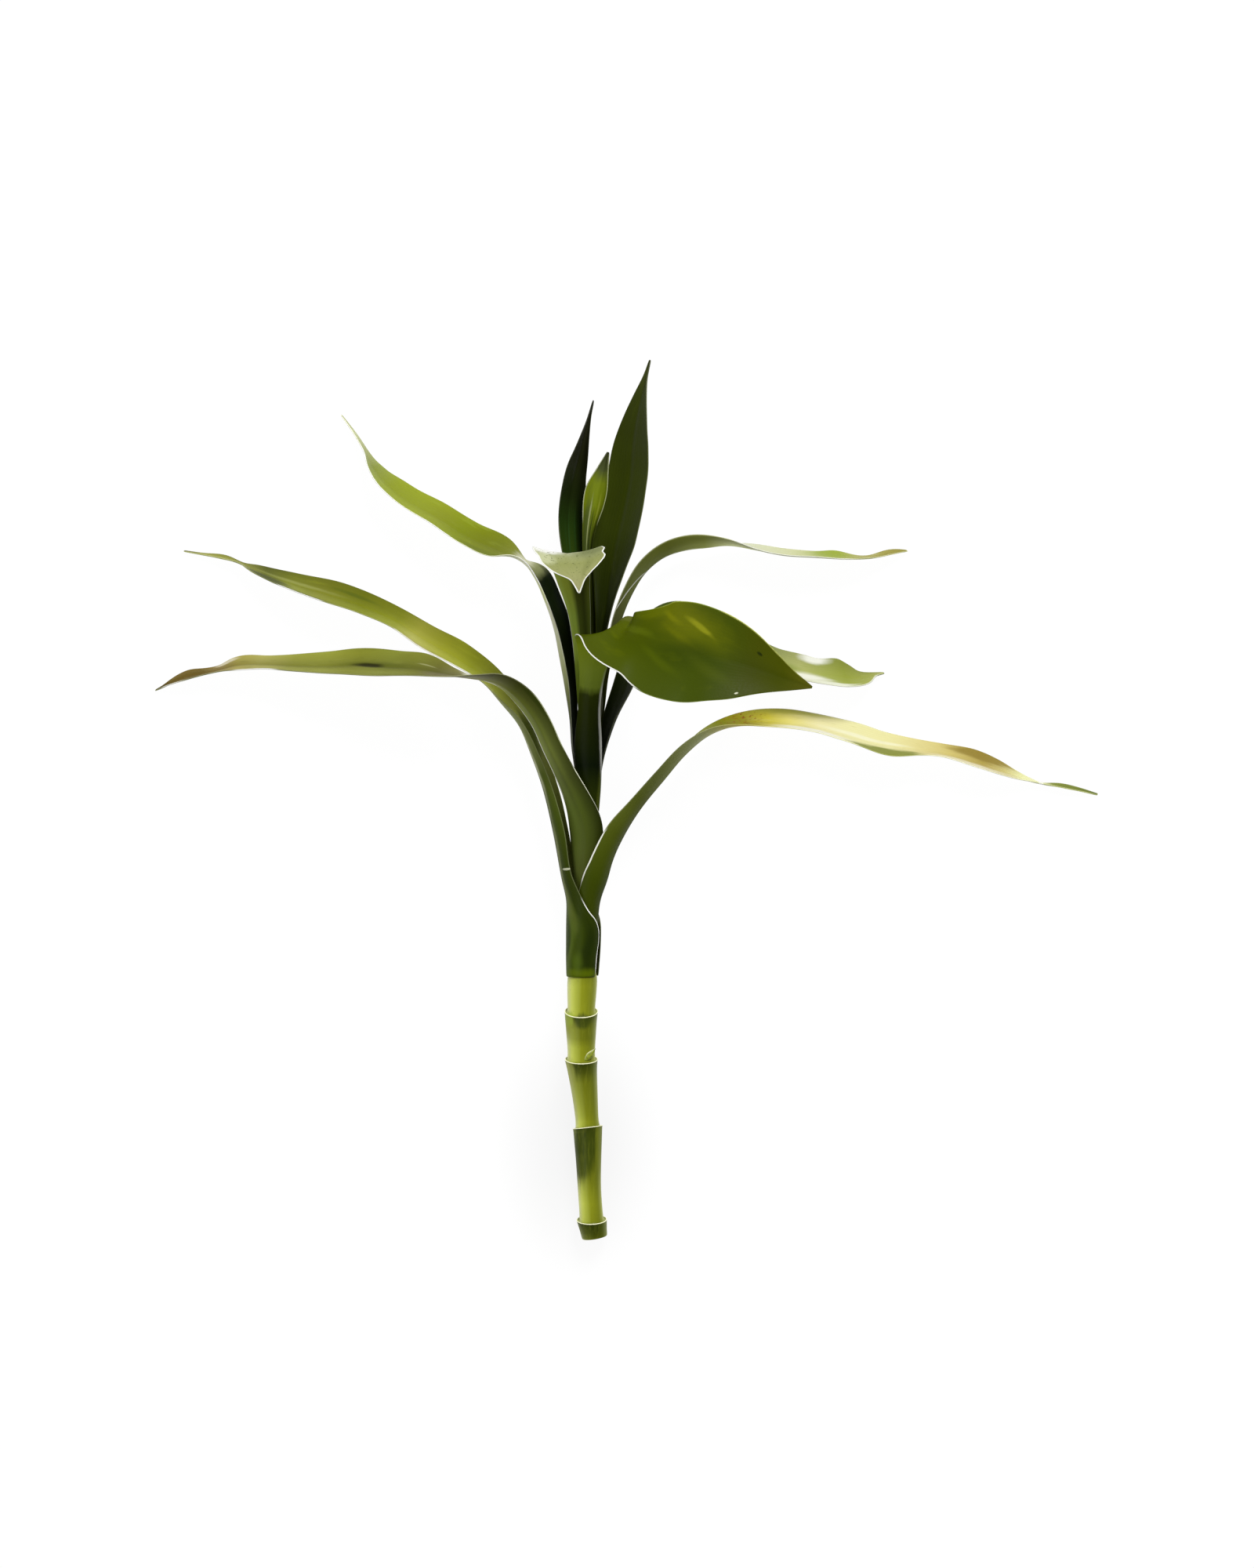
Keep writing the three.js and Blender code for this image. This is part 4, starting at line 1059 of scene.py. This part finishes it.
# %% The leaves at the top
top_tall = leaf_stations(
    sheaths=[(28, 148, 2.9, 54), (44.5, 146, 3.3, 52)],
    blades=[
        (-9.2, 56, 15.3, 4, 56, 38), (-7.6, 66.4, 15, 5.2, 56, 36), (-6, 78, 13.8, 7.6, 34, 36),
        (-4.2, 89.3, 11.8, 10.6, 24, 37), (-1.2, 102, 9.6, 10.8, 20, 40), (1.3, 115, 7.8, 9.8, 18, 41),
        (2.2, 127, 5.9, 8.1, 16, 41), (3.6, 136, 4.6, 5.9, 15, 41), (5.4, 144.6, 3.2, 3.2, 14, 41),
        (6.9, 151, 2.1, 1.2, 12, 41), (8.3, 157.3, 1.3, 0.35, 8, 41),
    ],
)
# Its pale edge line is a painted highlight.
top_tall_look = {
    "upper": [
        (0, "#1e220a"), (33, "#222809"), (50, "#2b320b"), (70, "#363f0f"), (88, "#384112"),
        (105, "#323910"), (118, "#363d18"), (128, "#3c4220"), (132, "#2a2e18"),
    ],
    "lower": [(0, "#1c2009"), (60, "#242a0a"), (132, "#2c3214")],
    "blotches": [(0.35, 1.8, 4.1, "#3c4414", 0.4)],
    "edges": [(1, 45, 125, 0.2, "#7c835c", 0.4)],
    "margin_strength": 0.1,
    "nicks": [(62, 1, 0.4, 0, 4), (84, 1, -0.4, 0, 5), (100, 1, 0.4, 0, 4)],
    "glow": 0.04,
    "rough": 0.42,
}
grow_leaf("tall_top_leaf", "leaf_top_tall", top_tall, top_tall_look, 9.0, 16)

top_dark = leaf_stations(
    sheaths=[(34, -124, 3.8, 40), (44.5, -122, 4.1, 40)],
    blades=[
        (-17, 56, 17.4, 3.4, 48, -58), (-17.4, 67, 17.6, 4.2, 50, -52), (-18.6, 78, 17.6, 5.4, 34, -52),
        (-20, 89.3, 17, 7, 24, -52), (-20.5, 98, 16, 7.5, 20, -52), (-20, 106, 14.8, 7.4, 18, -52),
        (-18.8, 113.4, 13.6, 6.8, 16, -53), (-17, 121, 10.8, 5.1, 15, -55), (-15, 129, 10, 2.8, 14, -57),
        (-13.2, 135.8, 9.3, 1.1, 12, -57), (-11.3, 142.2, 8.7, 0.35, 8, -57),
    ],
)
# Its across ramp is painted shade and its pale edge lines are painted highlights.
top_dark_look = {
    "upper": [
        (0, "#12180a"), (20, "#1f2c0e"), (40, "#2f441a"), (55, "#34481c"), (64, "#2c401c"), (74, "#262f1a"),
        (88, "#26281a"), (102, "#2c2d22"), (110, "#1a1b14"),
    ],
    "lower": [(0, "#12180a"), (110, "#161a0e")],
    "across_upper": [(-1, "#ffffff"), (0.25, "#f8f8f0"), (0.6, "#b0b098"), (1, "#a0a088")],
    "strokes": [
        (56, 0, 10, 0.06, 0.6, "#35502a", 0.7), (58, 0.4, 10, 0.05, 0.6, "#2c4420", 0.7),
        (54, -0.3, 10, 0.05, 0.6, "#2f4a24", 0.6),
    ],
    "edges": [(1, 20, 110, 0.35, "#7f8468", 0.6), (-1, 30, 64, 0.4, "#747a5c", 0.6)],
    "margin_strength": 0.05,
    "shine": 0.05,
    "glow": 0.04,
    "rough": 0.42,
}
grow_leaf("dark_top_leaf", "leaf_top_dark", top_dark, top_dark_look, 10.0)

top_young = leaf_stations(
    sheaths=[(42.6, 180, 1.6, 130)],
    blades=[
        (-12.2, 60, 17.6, 3.4, 110, 5), (-12.9, 76, 17.8, 3.2, 100, 8), (-13.3, 90.4, 17.6, 3, 95, 12),
        (-12.4, 97.4, 17.2, 4, 86, 14), (-11, 103.8, 16.8, 5.2, 74, 16), (-9.9, 110, 16.6, 5, 62, 16),
        (-8.5, 115.6, 16.4, 3, 50, 18), (-6.5, 123.4, 16, 0.35, 20, 20),
    ],
)
top_young_look = {
    "upper": [
        (0, "#262c0c"), (25, "#2c320e"), (38, "#424c1c"), (48, "#505c24"), (57, "#66731a"), (62, "#7a881c"),
        (70, "#7a8822"), (75, "#4e5630"), (81, "#34381e"),
    ],
    "lower": [(0, "#262c0c"), (30, "#333a14"), (50, "#525c26"), (62, "#5c662c"), (81, "#34381e")],
    "strokes": [
        (50, -0.5, 14, 0.35, 0.5, "#4e5a2c", 0.8), (54, -0.3, 10, 0.06, 0.5, "#a4aa74", 0.8),
        (50, -0.05, 10, 0.06, 0.5, "#22280c", 0.8), (60, 0.3, 5, 0.08, 0.6, "#9ca43c", 0.6),
        (36, 0.75, 22, 0.45, 0.4, "#2b310b", 0.95),
    ],
    "edges": [(-1, 56, 80, 0.3, "#c4c8a4", 0.7), (1, 56, 80, 0.25, "#b9bf90", 0.6)],
    "margin_strength": 0.0,
}
grow_leaf("young_top_leaf", "leaf_top_young", top_young, top_young_look, 11.0)

# %% [markdown]
# The cane is a stack of joints. At the top of each one sits a collar, the thin
# scar of a leaf that fell, and the next joint rises out of it. A screw or an
# array would make every joint alike, so the cane is drawn out ring by ring: a
# circle is extruded again and again, and each new ring gets its own place,
# radius, lean and slant. The lip of a collar always has the same profile, so
# it has a function of its own.

# %% Rings of the cane
CANE_SIDES = 48
cane_line = [
    (-157, -11.2), (-150, -12.4), (-139, -13.2), (-118, -13.7), (-107, -14.6),
    (-94, -16), (-78, -16.1), (-63, -15.6), (-20, -14.3), (50, -12.2),
]
# Each ring of a lip: how far past the collar, how much wider, its painted shade and how pale
LIP_PROFILE = [
    (-0.9, -0.1, 0.96, 0.0), (-0.22, 0.0, 1.0, 0.0), (-0.08, 0.05, 1.0, 0.9),
    (0.12, 0.02, 1.0, 1.0), (0.14, -0.22, 1.0, 0.9), (-0.1, -0.34, 0.9, 0.0),
]


def cane_centre(y):
    for (near_y, near_x), (far_y, far_x) in zip(cane_line, cane_line[1:]):
        if y <= far_y or far_y == cane_line[-1][0]:
            share = (y - near_y) / (far_y - near_y)
            return Vector((near_x + (far_x - near_x) * share, y, STEM_Z + STEM_RISE * y))


def ring(y, radius, lean, slant, shade, rim=0.0):
    return {"y": y, "radius": radius, "lean": lean, "slant": slant, "shade": shade, "rim": rim}


def rings(*rows):
    return [ring(*row) for row in rows]


def lip(y, radius, neck, lean, slant, next_shade):
    """The thin edge of a collar and the narrow groove that the next joint rises from."""
    edge = []
    for past, wider, shade, pale in LIP_PROFILE:
        edge.append(ring(y + past, radius + wider, lean, slant, shade, pale))
    # The groove is painted part dark, a painted shade.
    groove = rings((y - 0.16, neck + 0.06, lean, slant, 0.6), (y + 0.45, neck, lean, slant, next_shade))
    return edge + groove


# The last number of each ring is its painted shade: higher is darker.
cane_rings = [
    *rings((-156.6, 4.45, 0.12, 0.16, 0.35), (-156.2, 4.55, 0.14, 0.16, 0.8), (-154, 4.8, 0.18, 0.1, 0.9)),
    *lip(-150.3, 5.4, 4.35, 0.24, 0.03, 0.2),
    *rings(
        (-148.5, 4.2, 0.16, 0.02, 0.1), (-144, 4.16, 0.1, 0.0, 0.0), (-139.5, 4.16, 0.1, 0.0, 0.2),
        (-134, 4.3, 0.1, 0.04, 0.42), (-127.5, 4.6, 0.06, 0.08, 0.76), (-122, 4.95, 0.0, 0.12, 1.4),
    ),
    *lip(-117.1, 5.25, 4.3, -0.03, 0.12, 0.15),
    *rings(
        (-115.2, 4.12, 0.02, 0.08, 0.1), (-112, 4.2, 0.06, 0.02, 0.24), (-106.7, 4.5, 0.1, 0.0, 0.36),
        (-100.5, 4.98, 0.14, 0.0, 0.46), (-96, 5.35, 0.2, 0.0, 0.85),
    ),
    *lip(-92.8, 5.85, 5.0, 0.24, 0.0, 0.1),
    *rings(
        (-91, 4.85, 0.2, 0.0, 0.05), (-88, 4.98, 0.14, 0.0, 0.05), (-84.5, 5.25, 0.16, 0.0, 0.45),
        (-80.8, 5.5, 0.24, 0.0, 0.5), (-78.2, 5.72, 0.3, 0.0, 0.7),
    ),
    *lip(-75.7, 5.95, 5.0, 0.34, 0.0, 0.1),
    *rings(
        (-74.2, 4.88, 0.24, 0.0, 0.02), (-71, 5.15, 0.1, 0.0, 0.0), (-66, 5.35, 0.0, 0.0, 0.04),
        (-63.6, 5.3, 0.0, 0.0, 0.3), (-62, 4.95, 0.0, 0.0, 0.6), (-58, 4.1, 0.0, 0.0, 0.6),
        (-54, 3.5, 0.0, 0.0, 0.6), (-50, 2.8, 0.0, 0.0, 0.6), (-25, 2.7, 0.0, 0.0, 0.7),
        (0, 2.5, 0.0, 0.0, 0.8), (22, 1.8, 0.0, 0.0, 0.9), (42, 0.8, 0.0, 0.0, 1.0),
    ),
]
print("The cane has", len(cane_rings), "rings")

# %% Draw out the cane


def place_ring(verts, values):
    centre = cane_centre(values["y"])
    for i, vert in enumerate(verts):
        angle = 2 * math.pi * i / CANE_SIDES
        dx = values["radius"] * math.sin(angle)
        dz = values["radius"] * math.cos(angle)
        dy = values["slant"] * dx - values["lean"] * dz
        vert.co = Vector((centre.x + dx, centre.y + dy, centre.z + dz)) * MM


def next_ring(bm, verts, edges):
    """Extrude the open end once, and list its new corners in the order of the old ones."""
    made = bmesh.ops.extrude_edge_only(bm, edges=edges)["geom"]
    fresh = {part for part in made if isinstance(part, bmesh.types.BMVert)}
    grown = []
    for vert in verts:
        neighbours = [edge.other_vert(vert) for edge in vert.link_edges]
        grown.append(next(other for other in neighbours if other in fresh))
    return grown, [part for part in made if isinstance(part, bmesh.types.BMEdge)]


def cane_mesh():
    bm = bmesh.new()
    shade_layer = bm.verts.layers.float.new("shade")
    rim_layer = bm.verts.layers.float.new("rim")
    around_layer = bm.verts.layers.float.new("around")
    verts = bmesh.ops.create_circle(bm, cap_ends=True, segments=CANE_SIDES, radius=MM)["verts"]
    verts.sort(key=lambda vert: math.atan2(vert.co.x, vert.co.y) % (2 * math.pi))
    foot_faces = list(bm.faces)
    edges = list(bm.edges)
    for i, values in enumerate(cane_rings):
        if i > 0:
            verts, edges = next_ring(bm, verts, edges)
        place_ring(verts, values)
        for k, vert in enumerate(verts):
            vert[shade_layer] = values["shade"]
            vert[rim_layer] = values["rim"]
            vert[around_layer] = math.sin(2 * math.pi * k / CANE_SIDES)
    bmesh.ops.contextual_create(bm, geom=edges)
    for thickness in (0.5 * MM, 1.6 * MM):
        bmesh.ops.inset_region(bm, faces=foot_faces, thickness=thickness)
    bmesh.ops.recalc_face_normals(bm, faces=bm.faces)
    return to_mesh(bm, "ringed_cane")


print("Ring radius at the foot:", cane_rings[0]["radius"], "mm")

# %% [markdown]
# A joint is painted deep olive right under its collar, a painted shade, and
# yellow-green at its foot. Each ring carries that shade as an attribute, another
# one marks the pale lip of the collars, and a third says how far round to the
# left or right a point lies. So there are two ramps from left to right, one for
# the lit skin and one for the shaded skin, each lighter at the left as painted
# light, and the shade mixes them. Noise keeps the borders soft and uneven.

# %% Material of the cane
CANE_RELIEF = 0.1 * MM
CANE_SHINE = 0.12
# Painted light from left to right: the lit skin is brightest on the left.
lit_skin = [
    (-1, "#e4e8a4"), (-0.72, "#d0d868"), (-0.4, "#aab23c"), (0, "#858b18"),
    (0.4, "#7a8016"), (0.7, "#747a1a"), (0.88, "#8a9036"), (1, "#b4b86c"),
]
# The shaded skin is the painted shade under each collar.
shaded_skin = [
    (-1, "#66701e"), (-0.75, "#3c4608"), (0, "#2c3501"),
    (0.4, "#2f3702"), (0.7, "#424b06"), (1, "#6c7436"),
]
# These marks are painted highlights on the lit left side and painted shade under the collars.
cane_painted_light_and_shade = [
    (-128, -0.5, 9.5, 1.0, 0.4, "#3a4406", 0.9, 0.05), (-124, 0.85, 9, 0.3, 0.5, "#6d7414", 0.7),
    (-80, -0.85, 4, 0.25, 0.5, "#959c34", 0.8), (-97, -0.8, 4, 0.3, 0.5, "#a2a850", 0.7),
    (-104, -0.85, 12, 0.12, 0.6, "#b3b868", 0.5), (-79, 0.1, 2.6, 0.45, 0.4, "#3a440c", 0.85),
    (-78.5, -0.8, 2.4, 0.3, 0.4, "#97a83c", 0.8), (-70, 0.6, 5, 0.2, 0.5, "#7c8220", 0.5),
]


def drawn_out(tree, position, squeeze):
    """The object's own coordinates, squeezed in Y so that a pattern runs along the cane."""
    return add_node(tree, "Mapping", {"Vector": position, "Scale": (1.0, squeeze, 1.0)}).outputs[0]


cane_skin, tree = new_material("cane_skin")
position = object_place(tree)
height = calc(tree, "DIVIDE", add_node(tree, "SeparateXYZ", {0: position}).outputs["Y"], MM)
around = attribute(tree, "around")
drift = minus(tree, cloud(tree, drawn_out(tree, position, 0.3), 220.0, 3.0), 0.5)
shade = calc(tree, "ADD", attribute(tree, "shade"), times(tree, drift, 0.14), clamp=True)
# The shade attribute mixes the lit skin into the shaded skin: painted shade.
tint = mix(tree, shade, ramp(tree, around, lit_skin, colour), ramp(tree, around, shaded_skin, colour))
tint = lay_strokes(tree, tint, cane_painted_light_and_shade, around, height, colour)
fine = cloud(tree, drawn_out(tree, position, 0.03), 1500.0, 3.0)
tint = mix(tree, remap(tree, fine, 0.45, 0.75, 0.0, 0.06), tint, colour("#c3c83c"))
dot = place_group(tree, specks, Position=position, Cover=0.22, Scale=1200.0)
tint = stain(tree, tint, dot["Mask"], 0.25, colour("#4a4a10"))
tint = mix(tree, remap(tree, attribute(tree, "rim"), 0.4, 0.9, 0.0, 0.95), tint, colour("#f2f1cc"))
rough = remap(tree, fine, 0.3, 0.7, 0.34, 0.48)
skin = skin_shader(tree, tint, rough, CANE_SHINE, fine, CANE_RELIEF)
add_node(tree, "OutputMaterial", {"Surface": skin})
print("The skin of the cane has", len(tree.nodes), "nodes")

# %% Dress the cane
cane = add_piece("ringed_cane", cane_mesh(), cane_skin)
cane.data.shade_smooth()
soften(cane, "Soft cane")
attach(cane, "root")
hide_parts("cane")
print("The cane has", len(cane.data.polygons), "faces")

# %% [markdown]
# A dormant bud sits above the second collar. It is a small flat scale that
# hugs the cane, so a sphere is flattened, drawn to a point and leant over.

# %% The bud
BUD_HALF_WIDTH = 1.2
BUD_HALF_LENGTH = 3.3
BUD_HALF_DEPTH = 1.1
BUD_TAPER = 0.75
BUD_LIP_NARROW = 1.1
BUD_LIP_STRONG = 2.0
bm = bmesh.new()
bmesh.ops.create_uvsphere(bm, u_segments=24, v_segments=16, radius=1.0)
lip_layer = bm.verts.layers.float.new("lip")
for vert in bm.verts:
    x, y, z = vert.co
    vert[lip_layer] = max(0.0, 1.0 - abs(y) * BUD_LIP_NARROW) * max(0.0, -x * BUD_LIP_STRONG)
    taper = 1.0 - BUD_TAPER * max(0.0, z)
    vert.co = Vector((x * BUD_HALF_WIDTH * taper, z * BUD_HALF_LENGTH, y * BUD_HALF_DEPTH * taper))
bmesh.ops.recalc_face_normals(bm, faces=bm.faces)
bud_mesh = to_mesh(bm, "bud_scale")
print("The bud has", len(bud_mesh.polygons), "faces")

# %% Seat the bud on the cane
BUD_X = -13.1
BUD_Y = -91.2
BUD_LIFT = 4.0
BUD_TURN = -42
bud_turn = Matrix.Rotation(math.radians(BUD_TURN), 4, "Z")
bud_place = Matrix.Translation((BUD_X, BUD_Y, cane_centre(BUD_Y).z + BUD_LIFT)) @ bud_turn
bud_mesh.transform(Matrix.Scale(MM, 4) @ bud_place)
bud_mesh.shade_smooth()
bud_skin, tree = new_material("bud_skin")
mottle = cloud(tree, object_place(tree), 900.0, 3.0)
tint = mix(tree, remap(tree, mottle, 0.35, 0.65), colour("#6c7618"), colour("#8a942a"))
tint = mix(tree, attribute(tree, "lip"), tint, colour("#f0f0c8"))
skin = add_node(tree, "BsdfPrincipled", {"Base Color": tint, "Roughness": 0.45, "Specular IOR Level": 0.18})
add_node(tree, "OutputMaterial", {"Surface": skin.outputs[0]})
bud = add_piece("bud_scale", bud_mesh, bud_skin)
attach(bud, "root")
print("The bud sits at Y", BUD_Y, "mm")

# %% [markdown]
# The plant lies on a white table under soft light. Large lamps give soft
# shadows, and a table that shines by itself swallows them, as on a
# photographer's light table. Round the cane it shines a little less, a
# painted shadow. The world is white for the camera, so the table has no
# horizon in low views, and dimmer for the plant, so its gloss stays quiet.

# %% Table
TABLE_TOP = -0.05 * MM
PAINTED_SHADOW_CENTRE = (-17 * MM, -124 * MM, 0.0)
PAINTED_SHADOW_REACH = (36 * MM, 56 * MM, 1.0)
WHITE = (1.0, 1.0, 1.0, 1.0)

bm = bmesh.new()
bmesh.ops.create_grid(bm, x_segments=8, y_segments=8, size=4.0)
table_mesh = to_mesh(bm, "table_top")
table_mesh.transform(Matrix.Translation((0, 0, TABLE_TOP)))
table_white, tree = new_material("table_white")
# The table's glow is weaker round the cane, a painted shadow.
spread = {"Vector": object_place(tree), "Location": PAINTED_SHADOW_CENTRE, "Scale": PAINTED_SHADOW_REACH}
placed = add_node(tree, "Mapping", spread, vector_type="TEXTURE")
from_cane = add_node(tree, "VectorMath", {0: placed.outputs[0]}, operation="LENGTH")
shining = {
    "Base Color": (0.04, 0.04, 0.04, 1.0),
    "Roughness": 0.9,
    "Specular IOR Level": 0.0,
    "Emission Color": WHITE,
    "Emission Strength": remap(tree, from_cane.outputs["Value"], 0.1, 1.1, 0.88, 0.975),
}
shader = add_node(tree, "BsdfPrincipled", shining)
add_node(tree, "OutputMaterial", {"Surface": shader.outputs[0]})
table = add_piece("table_top", table_mesh, table_white)
print("The table is", round(table.dimensions.x), "m wide")

# %% Light
CAMERA_SKY = 1.0
PLANT_SKY = 0.25
world = bpy.data.worlds.new("studio")
bpy.context.scene.world = world
world.use_nodes = True
tree = world.node_tree
rays = add_node(tree, "LightPath", {}).outputs["Is Camera Ray"]
strength = plus(tree, PLANT_SKY, times(tree, rays, CAMERA_SKY - PLANT_SKY))
tree.nodes["Background"].inputs["Color"].default_value = WHITE
tree.links.new(strength, tree.nodes["Background"].inputs["Strength"])


def lamp(name, place, size, power):
    """A round lamp that points at the middle of the table."""
    data = bpy.data.lights.new(name, "AREA")
    data.shape = "DISK"
    data.size = size
    data.energy = power
    made = bpy.data.objects.new(name, data)
    bpy.context.scene.collection.objects.link(made)
    made.location = place
    made.rotation_euler = (-Vector(place)).to_track_quat("-Z", "Y").to_euler()


lamp("window_lamp", place=(0.5, 1.5, 1.5), size=0.9, power=52)
lamp("fill_lamp", place=(-1.2, -0.3, 1.7), size=1.4, power=12)
print("Lamps:", [light.name for light in bpy.data.lights])

# %% [markdown]
# The camera hangs two metres up and looks straight down, with a long lens, so
# that near and far leaves keep their proportions.

# %% Camera
FRAME_HEIGHT = 560 * MM
CAMERA_HEIGHT = 2020 * MM
FOCUS_HEIGHT = 6 * MM
CAMERA_X = 0.28 * MM
CAMERA_Y = 5.32 * MM
SENSOR = 36.0
camera_data = bpy.data.cameras.new("camera")
camera_data.sensor_width = SENSOR
camera_data.lens = SENSOR * (CAMERA_HEIGHT - FOCUS_HEIGHT) / FRAME_HEIGHT
camera_data.clip_start = 0.1
camera_data.clip_end = 20
camera = bpy.data.objects.new("camera", camera_data)
bpy.context.scene.collection.objects.link(camera)
camera.location = (CAMERA_X, CAMERA_Y, CAMERA_HEIGHT)
bpy.context.scene.camera = camera
bpy.context.scene.view_settings.view_transform = "Standard"
print("Lens:", round(camera_data.lens, 1), "mm")
